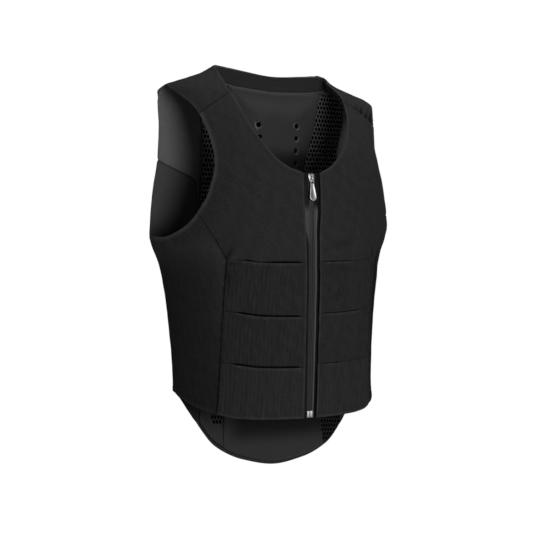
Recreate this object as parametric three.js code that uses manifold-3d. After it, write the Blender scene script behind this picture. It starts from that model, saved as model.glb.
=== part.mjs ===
// Back protector vest: a sleeveless zip vest with a foam plate in its back and a drop tail.
// Millimetres. +Z is up, -Y is the wearer's front and +X the wearer's left. The origin lies
// midway between the two shoulder straps, where the vest rests on the wearer.
import * as THREE from 'three';
import { mergeVertices } from 'three/addons/utils/BufferGeometryUtils.js';
import Module from 'manifold-3d';

const wasm = await Module();
wasm.setup();

// Thicknesses and gaps
const WALL = 2.5;
const SEAM_GAP = 0.6;
const LAYER_GAP = 0.7;
const FACING_GAP = 1.3;
const PLATE_THICKNESS = 24;
const PLATE_EDGE_THICKNESS = 12;
const MESH_THICKNESS = 4;
const FACING_THICKNESS = 1.2;
const TAPE_THICKNESS = 1.2;
const LAYER_FACE = -WALL - LAYER_GAP;
const FACING_FACE = -WALL - FACING_GAP;
const METAL_GAP = 0.3;

// Front zip
const ZIP_TOP = -151;
const ZIP_BOTTOM = -523;
const ZIP_HALF_GAP = 0.3;
const TAPE_HALF_WIDTH = 19;
const FRONT_EDGE = 13.5;
const SLIDER_HEIGHT = -158.5;
const END_BOX_HEIGHT = -517;

// Stretch bands: the top edge of each stands proud and its foot is tucked behind the next
const BAND_TOPS = { upper: -283, middle: -364, lower: -441 };
const BAND_TUCK = 11;
const BAND_LIFT = 3.4;

// Foam plate holes
const HOLE_RADIUS = 4;
const HOLE_SIDES = 10;
const HOLE_COLUMN = 34;
const HOLE_PITCH = 19.6;
const HOLE_TOP = -68;
const HOLE_COUNT = 23;

// One girth unit is a quarter of the way round the body, here its length at the chest
const QUARTER_GIRTH = 290;

// The body of the vest, one level section in each row
const SECTIONS = [
  { z: -640, halfWidth: 174, frontY: -112, sideY: -8, backY: -14, frontFlat: 0.0, backFlat: 0.5 },
  { z: -523, halfWidth: 173, frontY: -128, sideY: -2, backY: 9, frontFlat: 0.0, backFlat: 0.5 },
  { z: -482, halfWidth: 171, frontY: -130, sideY: 1, backY: 17, frontFlat: 0.0, backFlat: 0.5 },
  { z: -375, halfWidth: 176.5, frontY: -135, sideY: 7, backY: 33, frontFlat: 0.04, backFlat: 0.5 },
  { z: -295, halfWidth: 188.5, frontY: -139, sideY: 11, backY: 39, frontFlat: 0.1, backFlat: 0.5 },
  { z: -245, halfWidth: 203, frontY: -140, sideY: 14, backY: 39.5, frontFlat: 0.18, backFlat: 0.5 },
  { z: -184, halfWidth: 200.5, frontY: -139, sideY: 18, backY: 35, frontFlat: 0.38, backFlat: 0.5 },
  { z: -128, halfWidth: 194, frontY: -131, sideY: 18, backY: 28.5, frontFlat: 0.42, backFlat: 0.5 },
  { z: -72, halfWidth: 190, frontY: -106, sideY: 18, backY: 24, frontFlat: 0.38, backFlat: 0.5 },
  { z: -30, halfWidth: 190, frontY: -72, sideY: 17, backY: 22, frontFlat: 0.3, backFlat: 0.5 },
  { z: -18, halfWidth: 178, frontY: -57, sideY: 15, backY: 21, frontFlat: 0.26, backFlat: 0.5 },
  { z: -10, halfWidth: 158, frontY: -45, sideY: 13, backY: 20.5, frontFlat: 0.2, backFlat: 0.45 },
  { z: 4, halfWidth: 120, frontY: -26, sideY: 8, backY: 19, frontFlat: 0.1, backFlat: 0.4 },
  { z: 18, halfWidth: 96, frontY: -10, sideY: 3, backY: 16.5, frontFlat: 0.0, backFlat: 0.2 },
  { z: 30, halfWidth: 60, frontY: -2, sideY: 2, backY: 14, frontFlat: 0.0, backFlat: 0.0 },
];

// Seam ends that two or more edges share, as [girth, z]: girth 0 front, 1 side, 2 centre back
const NECK_AT_ZIP = [0.046, ZIP_TOP];
const NECK_AT_YOKE_FRONT = [0.337, -30];
const NECK_AT_YOKE_BACK = [1.4, 17.2];
const NECK_AT_BACK = [2, 10];
const ARM_AT_YOKE_BACK = [1.066, -40];
const ARM_AT_YOKE_FRONT = [0.578, -66];
const ARM_AT_FRONT_SEAM = [0.622, -212];
const ARM_AT_BACK_SEAM = [1.16, -129];
const BACK_SEAM_TURN = [1.56, -165];
const HEM_AT_ZIP = [0.05, ZIP_BOTTOM];
const HEM_AT_FRONT_SEAM = [0.576, -514];
const HEM_AT_SIDE = [1.05, -485];
const HEM_AT_BACK_SEAM = [1.45, -545];
const HEM_AT_TAIL = [2, -611];

// Colours of the materials, from the photo
const SOFTSHELL = { color: 0x2b2c2e, roughness: 0.85, metalness: 0 };
const STRETCH = { color: 0x303133, roughness: 0.9, metalness: 0 };
const FACING = { color: 0x28282a, roughness: 0.9, metalness: 0 };
const FOAM = { color: 0x4c4d50, roughness: 0.8, metalness: 0 };
const SPACER = { color: 0x1a1a1b, roughness: 0.9, metalness: 0 };
const SATIN = { color: 0x25262a, roughness: 0.5, metalness: 0 };
const CHROME = { color: 0xc9cacc, roughness: 0.25, metalness: 1 };

// A smooth curve through the knots that never overshoots them
function smooth(knots, values) {
  const last = knots.length - 1;
  const step = (i) => knots[i + 1] - knots[i];
  const rise = (i) => (values[i + 1] - values[i]) / step(i);
  const slopes = knots.map((_, i) => {
    if (i === 0) return rise(0);
    if (i === last) return rise(last - 1);
    if (rise(i - 1) * rise(i) <= 0) return 0;
    const before = 2 * step(i) + step(i - 1);
    const after = step(i) + 2 * step(i - 1);
    return (before + after) / (before / rise(i - 1) + after / rise(i));
  });
  return (at) => {
    const x = Math.min(Math.max(at, knots[0]), knots[last]);
    let i = 0;
    while (i < last - 1 && x > knots[i + 1]) i += 1;
    const h = step(i);
    const t = (x - knots[i]) / h;
    const hold = (1 + 2 * t) * (1 - t) * (1 - t);
    const enter = h * t * (1 - t) * (1 - t);
    const leave = h * t * t * (t - 1);
    return values[i] * hold + values[i + 1] * (1 - hold) + slopes[i] * enter + slopes[i + 1] * leave;
  };
}

const heights = SECTIONS.map((row) => row.z);
const section = Object.fromEntries(
  ['halfWidth', 'frontY', 'sideY', 'backY', 'frontFlat', 'backFlat'].map((column) => [
    column,
    smooth(heights, SECTIONS.map((row) => row[column])),
  ]),
);

// A point on the outer face of the vest
function onBody(u, z) {
  const angle = (u * Math.PI) / 2;
  const across = Math.sin(angle);
  const along = Math.cos(angle);
  const sideY = section.sideY(z);
  const depth = along >= 0 ? section.frontY(z) - sideY : section.backY(z) - sideY;
  const flat = along >= 0 ? section.frontFlat(z) : section.backFlat(z);
  const reach = Math.abs(along) * Math.sqrt(1 + flat * across * across);
  return new THREE.Vector3(section.halfWidth(z) * across, sideY + depth * reach, z);
}

// The same point moved out along the face's normal
function offBody(u, z, offset) {
  const du = 0.004;
  const dz = 0.4;
  const round = onBody(u + du, z).sub(onBody(u - du, z));
  const rising = onBody(u, z + dz).sub(onBody(u, z - dz));
  const normal = round.cross(rising).normalize();
  return onBody(u, z).addScaledVector(normal, offset);
}

// Girth of a point at a given distance from the middle, on the front or on the back
const frontGirth = (x, z) => (Math.asin(x / section.halfWidth(z)) * 2) / Math.PI;
const backGirth = (x, z) => 2 - frontGirth(x, z);

// A curve drawn on the body through [girth, z] points; between() samples it from point to point
function path(points) {
  const reach = [0];
  for (let i = 1; i < points.length; i += 1) {
    const around = (points[i][0] - points[i - 1][0]) * QUARTER_GIRTH;
    reach.push(reach[i - 1] + Math.hypot(around, points[i][1] - points[i - 1][1]));
  }
  const girth = smooth(reach, points.map((point) => point[0]));
  const height = smooth(reach, points.map((point) => point[1]));
  return {
    between(from, to, count) {
      const start = reach[points.indexOf(from)];
      const span = reach[points.indexOf(to)] - start;
      return Array.from({ length: count + 1 }, (_, i) => {
        const at = start + (span * i) / count;
        return [girth(at), height(at)];
      });
    },
    whole(count) {
      return this.between(points[0], points.at(-1), count);
    },
  };
}

const join = (...edges) => edges.flatMap((edge, i) => (i ? edge.slice(1) : edge));
const mirrorBack = (edge) => edge.map(([u, z]) => [4 - u, z]);
const straight = (from, to, count) => path([from, to]).whole(count);

// Edges and seams of the left half
const NECK = path([
  NECK_AT_ZIP, [0.1, -143], [0.165, -126], [0.255, -90], [0.31, -55], NECK_AT_YOKE_FRONT,
  [0.37, -17], [0.57, 1.5], [0.72, 10.5], [0.95, 17.3], [1.2, 18.2], NECK_AT_YOKE_BACK, [1.68, 14], NECK_AT_BACK,
  [2.32, 14],
]);
const ARM = path([
  ARM_AT_YOKE_BACK, [1, -18], [0.86, -22], [0.74, -31], ARM_AT_YOKE_FRONT, [0.55, -100], [0.535, -140],
  [0.565, -184], ARM_AT_FRONT_SEAM, [0.66, -225], [0.74, -239], [0.86, -248], [1, -246], [1.07, -228],
  [1.12, -180], ARM_AT_BACK_SEAM,
]);
const ARM_BACK = path([ARM_AT_YOKE_BACK, [1.13, -80], ARM_AT_BACK_SEAM]);
const BACK_SEAM = path([
  ARM_AT_BACK_SEAM, [1.38, -142.5], BACK_SEAM_TURN, [1.6, -250], [1.61, -400], HEM_AT_BACK_SEAM,
]);
const HEM = path([
  HEM_AT_ZIP, [0.3, -522], [0.45, -520], HEM_AT_FRONT_SEAM, [0.75, -505], HEM_AT_SIDE, [1.24, -500],
  HEM_AT_BACK_SEAM, [1.6, -579.5], [1.8, -602], HEM_AT_TAIL, [2.2, -602],
]);
const FACING_EDGE = path([
  [0.37, -18], [0.57, 0.5], [0.72, 9.5], [0.95, 16.3], [1.2, 17.2], [1.4, 16.2], [1.68, 13], [2, 9],
]);
const FACING_FOOT = path([
  [0.425, -25], [0.56, -8], [0.8, 5], [1, 9], [1.25, 6], [1.5, -3], [1.75, -11], [2, -15],
]);
const MESH_SIDE = path([[1.51, -5], [1.54, -60], [1.585, -166], [1.615, -250], [1.625, -400], [1.47, -540]]);
const FRONT_SEAM = [
  HEM_AT_FRONT_SEAM, [0.566, -470], [0.545, -413], [0.511, -334], [0.482, -293], [0.472, -282], [0.481, -274],
  [0.514, -252], ARM_AT_FRONT_SEAM,
];
const frontSeamGirth = smooth(FRONT_SEAM.map((point) => point[1]), FRONT_SEAM.map((point) => point[0]));

// Half widths of the foam plate and of the spacer mesh beside it
const PLATE_ROWS = [
  { z: -610, half: 90 },
  { z: -530, half: 87 },
  { z: -470, half: 79 },
  { z: -400, half: 69 },
  { z: -300, half: 60 },
  { z: -200, half: 58 },
  { z: -140, half: 61 },
  { z: -60, half: 77 },
  { z: -12, half: 85 },
];
const PLATE_TOP = -12;
const PLATE_DROP = 1.5;
const PLATE_CORNER = -580;
const PLATE_ROWS_DOWN = 20;
const HEM_SAMPLES = 8;
const HEM_INSET = 5;
const PLATE_MESH_GAP = 0.8;
const plateHalf = smooth(PLATE_ROWS.map((row) => row.z), PLATE_ROWS.map((row) => row.half));

const levels = (top, bottom, count) =>
  Array.from({ length: count + 1 }, (_, i) => top + ((bottom - top) * i) / count);
const frontSeam = (top, bottom, count) => levels(top, bottom, count).map((z) => [frontSeamGirth(z), z]);
const zipEdge = (top, bottom, count) =>
  levels(top, bottom, count).map((z) => [frontGirth(FRONT_EDGE, z), z]);
const hemBack = HEM.between(HEM_AT_BACK_SEAM, HEM_AT_TAIL, HEM_SAMPLES);
const hemHeight = smooth(hemBack.map((point) => point[0]), hemBack.map((point) => point[1]));
const aboveHem = (from, to, count) => levels(from, to, count).map((u) => [u, hemHeight(u) + HEM_INSET]);
const facingFoot = FACING_FOOT.whole(HEM_SAMPLES);
const footHeight = smooth(facingFoot.map((point) => point[0]), facingFoot.map((point) => point[1]));
const belowFacing = (from, to, count) => levels(from, to, count).map((u) => [u, footHeight(u) - PLATE_DROP]);

// The edge of the foam plate, or a line beside it, from the facing's foot to just above the tail's hem
function plateEdge(gap) {
  const heightsDown = levels(PLATE_TOP, PLATE_CORNER, PLATE_ROWS_DOWN);
  const edge = heightsDown.map((z) => [backGirth(plateHalf(z) + gap, z), z]);
  const [girth] = edge.at(-1);
  edge[0] = belowFacing(edge[0][0], 2, 1)[0];
  edge[PLATE_ROWS_DOWN] = [girth, hemHeight(girth) + HEM_INSET];
  return edge;
}

// How far along an edge each of its points lies, from 0 to 1
function shares(edge) {
  const reach = [0];
  for (let i = 1; i < edge.length; i += 1) {
    reach.push(reach[i - 1] + onBody(...edge[i]).distanceTo(onBody(...edge[i - 1])));
  }
  return reach.map((length) => length / reach.at(-1));
}

// A grid of [girth, z] rows between four edges that share their corners
function fill(top, bottom, left, right) {
  const mean = (one, other) => shares(one).map((share, i) => (share + shares(other)[i]) / 2);
  const columns = mean(top, bottom);
  const rows = mean(left, right);
  return rows.map((t, r) => columns.map((s, c) => [0, 1].map((axis) => {
    const down = (1 - t) * top[c][axis] + t * bottom[c][axis];
    const over = (1 - s) * left[r][axis] + s * right[r][axis];
    const topMix = (1 - s) * top[0][axis] + s * top.at(-1)[axis];
    const bottomMix = (1 - s) * bottom[0][axis] + s * bottom.at(-1)[axis];
    return down + over - (1 - t) * topMix - t * bottomMix;
  })));
}

// Draws the rim of a grid in by half a seam gap
function inset(grid) {
  const lastRow = grid.length - 1;
  const lastColumn = grid[0].length - 1;
  const inward = (i, last) => (i === 0 ? 1 : i === last ? last - 1 : i);
  return grid.map((row, r) => row.map(([u, z], c) => {
    let [girth, height] = [u, z];
    for (const [nextU, nextZ] of [grid[inward(r, lastRow)][c], grid[r][inward(c, lastColumn)]]) {
      const length = onBody(nextU, nextZ).distanceTo(onBody(u, z));
      if (length > 0) {
        girth += ((nextU - u) * SEAM_GAP) / 2 / length;
        height += ((nextZ - z) * SEAM_GAP) / 2 / length;
      }
    }
    return [girth, height];
  }));
}

// A closed wall over a grid; its two faces lie at the given offsets, numbers or functions of (s, t)
function wall(grid, outer, inner) {
  const rows = grid.length;
  const columns = grid[0].length;
  const positions = [outer, inner].flatMap((face) => grid.flatMap((row, r) => row.flatMap(([u, z], c) => {
    const offset = typeof face === 'function' ? face(c / (columns - 1), r / (rows - 1)) : face;
    return offBody(u, z, offset).toArray();
  })));
  const triangles = [];
  const quad = (a, b, c, d) => triangles.push(a, b, c, a, c, d);
  const backFace = rows * columns;
  for (let r = 0; r < rows - 1; r += 1) {
    for (let c = 0; c < columns - 1; c += 1) {
      const corner = r * columns + c;
      quad(corner, corner + columns, corner + columns + 1, corner + 1);
      quad(backFace + corner, backFace + corner + 1, backFace + corner + columns + 1,
        backFace + corner + columns);
    }
  }
  const rim = [
    ...Array.from({ length: columns - 1 }, (_, c) => c),
    ...Array.from({ length: rows - 1 }, (_, r) => r * columns + columns - 1),
    ...Array.from({ length: columns - 1 }, (_, c) => rows * columns - 1 - c),
    ...Array.from({ length: rows - 1 }, (_, r) => (rows - 1 - r) * columns),
  ];
  rim.forEach((at, i) => {
    const next = rim[(i + 1) % rim.length];
    quad(at, next, backFace + next, backFace + at);
  });
  return facingOut(positions, triangles);
}

// A geometry of these triangles, turned round where they face inward
function facingOut(positions, triangles) {
  const corner = (i) => new THREE.Vector3().fromArray(positions, i * 3);
  let volume = 0;
  for (let i = 0; i < triangles.length; i += 3) {
    const [a, b, c] = triangles.slice(i, i + 3).map(corner);
    volume += a.dot(b.cross(c));
  }
  const index = volume > 0 ? triangles : [...triangles].reverse();
  const geometry = new THREE.BufferGeometry();
  geometry.setAttribute('position', new THREE.Float32BufferAttribute(positions, 3));
  geometry.setIndex(index);
  geometry.computeVertexNormals();
  return geometry;
}

// Joining and cutting; points closer than this are one
const SAME_POINT = 1e-4;

function solid(geometry) {
  const bare = geometry.clone();
  bare.deleteAttribute('normal');
  bare.deleteAttribute('uv');
  const merged = mergeVertices(bare, SAME_POINT);
  return new wasm.Manifold(new wasm.Mesh({
    numProp: 3,
    vertProperties: new Float32Array(merged.attributes.position.array),
    triVerts: new Uint32Array(merged.index.array),
  }));
}

function surfaceOf(manifold) {
  const { vertProperties, triVerts } = manifold.getMesh();
  const geometry = new THREE.BufferGeometry();
  geometry.setAttribute('position', new THREE.Float32BufferAttribute(vertProperties, 3));
  geometry.setIndex([...triVerts]);
  geometry.computeVertexNormals();
  return geometry;
}

const vest = new THREE.Group();

function add(name, geometry, material, parent = vest) {
  const mesh = new THREE.Mesh(geometry, new THREE.MeshStandardMaterial(material));
  mesh.name = name;
  parent.add(mesh);
}

// Adds a left piece and its mirror image on the right; `suffix` follows the side in the name
function addPair(base, suffix, grid, outer, inner, material) {
  const mirrored = grid.map((row) => row.map(([u, z]) => [-u, z]));
  add(`${base}_left${suffix}`, wall(grid, outer, inner), material);
  add(`${base}_right${suffix}`, wall(mirrored, outer, inner), material);
}

// Row and column counts that neighbouring panels share
const YOKE_COLUMNS = 6;
const YOKE_ROWS = 14;
const CHEST_ARM_ROWS = 8;
const SEAM_TOP_ROWS = 4;
const SEAM_BAND_ROWS = 3;
const SIDE_ARM_COLUMNS = 8;
const DIAGONAL_COLUMNS = 4;
const BACK_ARM_ROWS = 6;
const BACK_NECK_COLUMNS = 4;

function addChestPanels() {
  const bottom = BAND_TOPS.upper - BAND_TUCK;
  const left = join(
    NECK.between(NECK_AT_YOKE_FRONT, NECK_AT_ZIP, CHEST_ARM_ROWS),
    zipEdge(ZIP_TOP, BAND_TOPS.upper, SEAM_TOP_ROWS),
    zipEdge(BAND_TOPS.upper, bottom, 1),
  );
  const right = join(
    ARM.between(ARM_AT_YOKE_FRONT, ARM_AT_FRONT_SEAM, CHEST_ARM_ROWS),
    frontSeam(ARM_AT_FRONT_SEAM[1], BAND_TOPS.upper, SEAM_TOP_ROWS),
    frontSeam(BAND_TOPS.upper, bottom, 1),
  );
  const top = straight(NECK_AT_YOKE_FRONT, ARM_AT_YOKE_FRONT, YOKE_COLUMNS);
  const foot = straight(left.at(-1), right.at(-1), YOKE_COLUMNS);
  addPair('chest_panel', '', inset(fill(top, foot, left, right)), 0, -WALL, SOFTSHELL);
}

function addStretchBands() {
  const rows = 5;
  const bottoms = {
    upper: BAND_TOPS.middle - BAND_TUCK,
    middle: BAND_TOPS.lower - BAND_TUCK,
    lower: null,
  };
  for (const [tier, topZ] of Object.entries(BAND_TOPS)) {
    const hem = HEM.between(HEM_AT_ZIP, HEM_AT_FRONT_SEAM, YOKE_COLUMNS);
    const bottomZ = bottoms[tier];
    const left = zipEdge(topZ, bottomZ ?? ZIP_BOTTOM, rows);
    const right = frontSeam(topZ, bottomZ ?? HEM_AT_FRONT_SEAM[1], rows);
    const top = straight(left[0], right[0], YOKE_COLUMNS);
    const foot = bottomZ ? straight(left.at(-1), right.at(-1), YOKE_COLUMNS) : hem;
    left[rows] = foot[0];
    const outer = (_, t) => BAND_LIFT * (1 - t);
    const inner = (_, t) => outer(_, t) - WALL;
    addPair('stretch_band', `_${tier}`, inset(fill(top, foot, left, right)), outer, inner, STRETCH);
  }
}

// Seam levels that the side panel takes over from the chest panel and the bands
const sideLevels = join(
  levels(ARM_AT_FRONT_SEAM[1], BAND_TOPS.upper, SEAM_TOP_ROWS),
  levels(BAND_TOPS.upper, BAND_TOPS.middle, SEAM_BAND_ROWS),
  levels(BAND_TOPS.middle, BAND_TOPS.lower, SEAM_BAND_ROWS),
  levels(BAND_TOPS.lower, HEM_AT_FRONT_SEAM[1], SEAM_BAND_ROWS),
);
const backSeamBelowTurn = BACK_SEAM.between(BACK_SEAM_TURN, HEM_AT_BACK_SEAM, sideLevels.length - 1);
const backSeamDiagonal = BACK_SEAM.between(ARM_AT_BACK_SEAM, BACK_SEAM_TURN, DIAGONAL_COLUMNS);

function addSidePanels() {
  const left = sideLevels.map((z) => [frontSeamGirth(z), z]);
  const top = join(ARM.between(ARM_AT_FRONT_SEAM, ARM_AT_BACK_SEAM, SIDE_ARM_COLUMNS), backSeamDiagonal);
  const bottom = HEM.between(HEM_AT_FRONT_SEAM, HEM_AT_BACK_SEAM, SIDE_ARM_COLUMNS + DIAGONAL_COLUMNS);
  addPair('side_panel', '', inset(fill(top, bottom, left, backSeamBelowTurn)), 0, -WALL, SOFTSHELL);
}

function addShoulderYokes() {
  const top = straight(NECK_AT_YOKE_FRONT, ARM_AT_YOKE_FRONT, YOKE_COLUMNS);
  const bottom = straight(NECK_AT_YOKE_BACK, ARM_AT_YOKE_BACK, YOKE_COLUMNS);
  const left = NECK.between(NECK_AT_YOKE_FRONT, NECK_AT_YOKE_BACK, YOKE_ROWS);
  const right = ARM.between(ARM_AT_YOKE_FRONT, ARM_AT_YOKE_BACK, YOKE_ROWS);
  addPair('shoulder_yoke', '', inset(fill(top, bottom, left, right)), 0, -WALL, SOFTSHELL);
}

function addBackPanel() {
  const left = join(
    ARM_BACK.between(ARM_AT_YOKE_BACK, ARM_AT_BACK_SEAM, BACK_ARM_ROWS),
    backSeamDiagonal,
    backSeamBelowTurn,
  );
  const halfTop = join(
    straight(ARM_AT_YOKE_BACK, NECK_AT_YOKE_BACK, YOKE_COLUMNS),
    NECK.between(NECK_AT_YOKE_BACK, NECK_AT_BACK, BACK_NECK_COLUMNS),
  );
  const halfBottom = HEM.between(HEM_AT_BACK_SEAM, HEM_AT_TAIL, halfTop.length - 1);
  const top = join(halfTop, mirrorBack(halfTop).reverse());
  const bottom = join(halfBottom, mirrorBack(halfBottom).reverse());
  add('back_panel', wall(inset(fill(top, bottom, left, mirrorBack(left))), 0, -WALL), SOFTSHELL);
}

function addNeckFacing() {
  const columns = 20;
  const rows = 3;
  const halfTop = FACING_EDGE.whole(columns);
  const halfFoot = FACING_FOOT.whole(columns);
  const top = join(halfTop, mirrorBack(halfTop).reverse());
  const foot = join(halfFoot, mirrorBack(halfFoot).reverse());
  const left = straight(top[0], foot[0], rows);
  const grid = fill(top, foot, left, mirrorBack(left));
  add('neck_facing', wall(grid, FACING_FACE, FACING_FACE - FACING_THICKNESS), FACING);
}

function addBackPlate() {
  const columns = 8;
  const left = plateEdge(0);
  const halfTop = belowFacing(left[0][0], 2, columns / 2);
  const top = join(halfTop, mirrorBack(halfTop).reverse());
  const halfBottom = aboveHem(left.at(-1)[0], 2, columns / 2);
  const bottom = join(halfBottom, mirrorBack(halfBottom).reverse());
  const inner = (s, t) => {
    const onRim = s === 0 || s === 1 || t === 0 || t === 1;
    return LAYER_FACE - (onRim ? PLATE_EDGE_THICKNESS : PLATE_THICKNESS);
  };
  let plate = solid(wall(fill(top, bottom, left, mirrorBack(left)), LAYER_FACE, inner));
  const drill = new THREE.CylinderGeometry(HOLE_RADIUS, HOLE_RADIUS, 3 * PLATE_THICKNESS, HOLE_SIDES);
  for (let i = 0; i < HOLE_COUNT; i += 1) {
    const z = HOLE_TOP - HOLE_PITCH * i;
    for (const x of [-HOLE_COLUMN, HOLE_COLUMN]) {
      const centre = onBody(backGirth(x, z), z);
      plate = plate.subtract(solid(drill.clone().translate(centre.x, centre.y, z)));
    }
  }
  add('back_plate', surfaceOf(plate), FOAM);
}

function addSpacerMeshes() {
  const columns = 3;
  const left = plateEdge(PLATE_MESH_GAP);
  const right = MESH_SIDE.whole(PLATE_ROWS_DOWN);
  right[PLATE_ROWS_DOWN] = [right.at(-1)[0], hemHeight(right.at(-1)[0]) + HEM_INSET];
  const top = belowFacing(left[0][0], right[0][0], columns);
  right[0] = top[columns];
  const bottom = aboveHem(left.at(-1)[0], right.at(-1)[0], columns);
  addPair('spacer_mesh', '', fill(top, bottom, left, right), LAYER_FACE, LAYER_FACE - MESH_THICKNESS, SPACER);
}

function addZipTapes() {
  const rows = 12;
  const edges = [ZIP_HALF_GAP, TAPE_HALF_WIDTH];
  const grid = levels(ZIP_TOP, ZIP_BOTTOM, rows).map((z) => edges.map((x) => [frontGirth(x, z), z]));
  addPair('zip_tape', '', grid, LAYER_FACE, LAYER_FACE - TAPE_THICKNESS, SATIN);
}

// A group on the face of the zip tapes, its -Y pointing out of the vest and its +Z up along the zip
function onZip(z) {
  const group = new THREE.Group();
  const outward = offBody(0, z, 1).sub(offBody(0, z, 0));
  group.position.copy(offBody(0, z, LAYER_FACE));
  group.rotation.x = Math.atan2(-outward.z, -outward.y);
  vest.add(group);
  return group;
}

const shapeOf = (points) => new THREE.Shape(points.map(([x, y]) => new THREE.Vector2(x, y)));

// A flat outline in X and Z with a thickness outward, from `back` on
function plateOf(shape, back, thickness) {
  const options = { depth: thickness, bevelEnabled: false, curveSegments: 6 };
  const geometry = new THREE.ExtrudeGeometry(shape, options);
  return geometry.rotateX(Math.PI / 2).translate(0, -back, 0);
}

// Slider sizes, measured outward from the tapes and up from the slider's middle
const SLIDER = { top: 6, topHalf: 4.4, shoulder: 2.4, shoulderHalf: 5, foot: -6, footHalf: 3.6, face: 2.2 };
const BAIL = { top: 4.4, foot: -4.2, innerTop: 3, innerFoot: -2.8, inside: 4.5, outside: 5.7, width: 2.2 };
const BAIL_CORNER = 1;
const BAIL_ROOT = SLIDER.face - 0.4;
const PIVOT = { outward: 3.35, up: -1.5 };
const PULLER = { thickness: 1.4, eyeHalf: 3.3, neckHalf: 2.9, tipHalf: 5.6, length: 34 };
const EYE = { half: 1.9, foot: -6.9, neck: -9 };
const END_BOX = { half: 5, halfHeight: 5, corner: 1.2, thickness: 2.6 };

function addSlider(group) {
  const half = [
    [SLIDER.footHalf, SLIDER.foot], [SLIDER.shoulderHalf, SLIDER.shoulder], [SLIDER.topHalf, SLIDER.top],
  ];
  const body = shapeOf([...half, ...half.map(([x, y]) => [-x, y]).reverse()]);
  const arch = shapeOf([
    [BAIL.foot, BAIL_ROOT],
    [BAIL.foot, BAIL.outside - BAIL_CORNER],
    [BAIL.foot + BAIL_CORNER, BAIL.outside],
    [BAIL.top - BAIL_CORNER, BAIL.outside],
    [BAIL.top, BAIL.outside - BAIL_CORNER],
    [BAIL.top, BAIL_ROOT],
    [BAIL.innerTop, BAIL_ROOT],
    [BAIL.innerTop, BAIL.inside],
    [BAIL.innerFoot, BAIL.inside],
    [BAIL.innerFoot, BAIL_ROOT],
  ]);
  const bail = new THREE.ExtrudeGeometry(arch, { depth: BAIL.width, bevelEnabled: false });
  const upright = new THREE.Matrix4().makeBasis(
    new THREE.Vector3(0, 0, 1),
    new THREE.Vector3(0, -1, 0),
    new THREE.Vector3(1, 0, 0),
  );
  bail.translate(0, 0, -BAIL.width / 2).applyMatrix4(upright);
  const slider = solid(plateOf(body, METAL_GAP, SLIDER.face - METAL_GAP)).add(solid(bail));
  add('zip_slider', surfaceOf(slider), CHROME, group);
}

// The puller hangs from the slider's bail by the bar above its eye
function addPuller(group) {
  const half = PULLER.thickness / 2;
  const tipCentre = PULLER.tipHalf - PULLER.length;
  const outline = new THREE.Shape();
  outline.moveTo(-PULLER.eyeHalf, half);
  outline.lineTo(-PULLER.neckHalf, EYE.neck);
  outline.lineTo(-PULLER.tipHalf, tipCentre);
  outline.absarc(0, tipCentre, PULLER.tipHalf, Math.PI, 2 * Math.PI, false);
  outline.lineTo(PULLER.neckHalf, EYE.neck);
  outline.lineTo(PULLER.eyeHalf, half);
  const eye = [[-EYE.half, -half], [EYE.half, -half], [EYE.half, EYE.foot], [-EYE.half, EYE.foot]];
  outline.holes.push(shapeOf(eye));
  const puller = plateOf(outline, PIVOT.outward - half, PULLER.thickness).translate(0, 0, PIVOT.up);
  add('zip_puller', puller, CHROME, group);
}

function addEndBox(group) {
  const { half, halfHeight, corner, thickness } = END_BOX;
  const outline = shapeOf([
    [-half, halfHeight - corner], [-half, -halfHeight + corner], [-half + corner, -halfHeight],
    [half - corner, -halfHeight], [half, -halfHeight + corner], [half, halfHeight - corner],
    [half - corner, halfHeight], [-half + corner, halfHeight],
  ]);
  add('zip_end_box', plateOf(outline, METAL_GAP, thickness), CHROME, group);
}

addChestPanels();
addStretchBands();
addSidePanels();
addShoulderYokes();
addBackPanel();
addNeckFacing();
addBackPlate();
addSpacerMeshes();
addZipTapes();
const sliderPlace = onZip(SLIDER_HEIGHT);
addSlider(sliderPlace);
addPuller(sliderPlace);
addEndBox(onZip(END_BOX_HEIGHT));

export default vest;
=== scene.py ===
# Back protector vest: a sleeveless zip vest with a foam plate in its back and a drop tail.
# The scene is in metres. The tables below are in millimetres: +Z is up, -Y is the wearer's front and
# +X the wearer's left, and the origin lies midway between the shoulder straps.
import math

import bmesh
import bpy
import numpy as np
from mathutils import Matrix, Vector
from mathutils.bvhtree import BVHTree
from mathutils.kdtree import KDTree


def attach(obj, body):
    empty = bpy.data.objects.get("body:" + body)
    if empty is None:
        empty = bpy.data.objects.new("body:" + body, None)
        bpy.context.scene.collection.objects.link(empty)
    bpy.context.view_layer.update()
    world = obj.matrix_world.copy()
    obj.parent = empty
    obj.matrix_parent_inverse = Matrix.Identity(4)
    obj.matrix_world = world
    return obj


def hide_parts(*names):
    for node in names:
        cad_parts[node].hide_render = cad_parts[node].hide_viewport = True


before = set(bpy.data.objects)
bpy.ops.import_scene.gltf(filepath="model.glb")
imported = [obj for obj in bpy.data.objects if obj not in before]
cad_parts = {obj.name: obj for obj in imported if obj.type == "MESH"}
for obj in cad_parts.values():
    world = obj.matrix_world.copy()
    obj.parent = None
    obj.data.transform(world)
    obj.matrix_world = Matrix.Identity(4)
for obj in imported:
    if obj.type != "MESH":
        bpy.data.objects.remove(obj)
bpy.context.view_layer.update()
MM = 0.001

# Thicknesses and layers, as offsets from the outer face of the vest
CLOTH = 2.2
BAND_CLOTH = 1.7
LAYER_FACE = -3.2
FACING_FACE = -3.8
FACING_THICKNESS = 1.2
PLATE_THICKNESS = 24
PLATE_EDGE_THICKNESS = 12
TAPE_THICKNESS = 1.2
MESH_DEPTH = 3.0

# Front zip
ZIP_TOP = -151
ZIP_BOTTOM = -523
ZIP_HALF_GAP = 0.15
TAPE_HALF_WIDTH = 19
TAPE_ROWS = 290
# Middle and edge of the cord that hides the teeth, and the pitch of the teeth that show through
CORD_MIDDLE = 1.5
CORD_EDGE = 2.9
TOOTH_PITCH = 2.6
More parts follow.
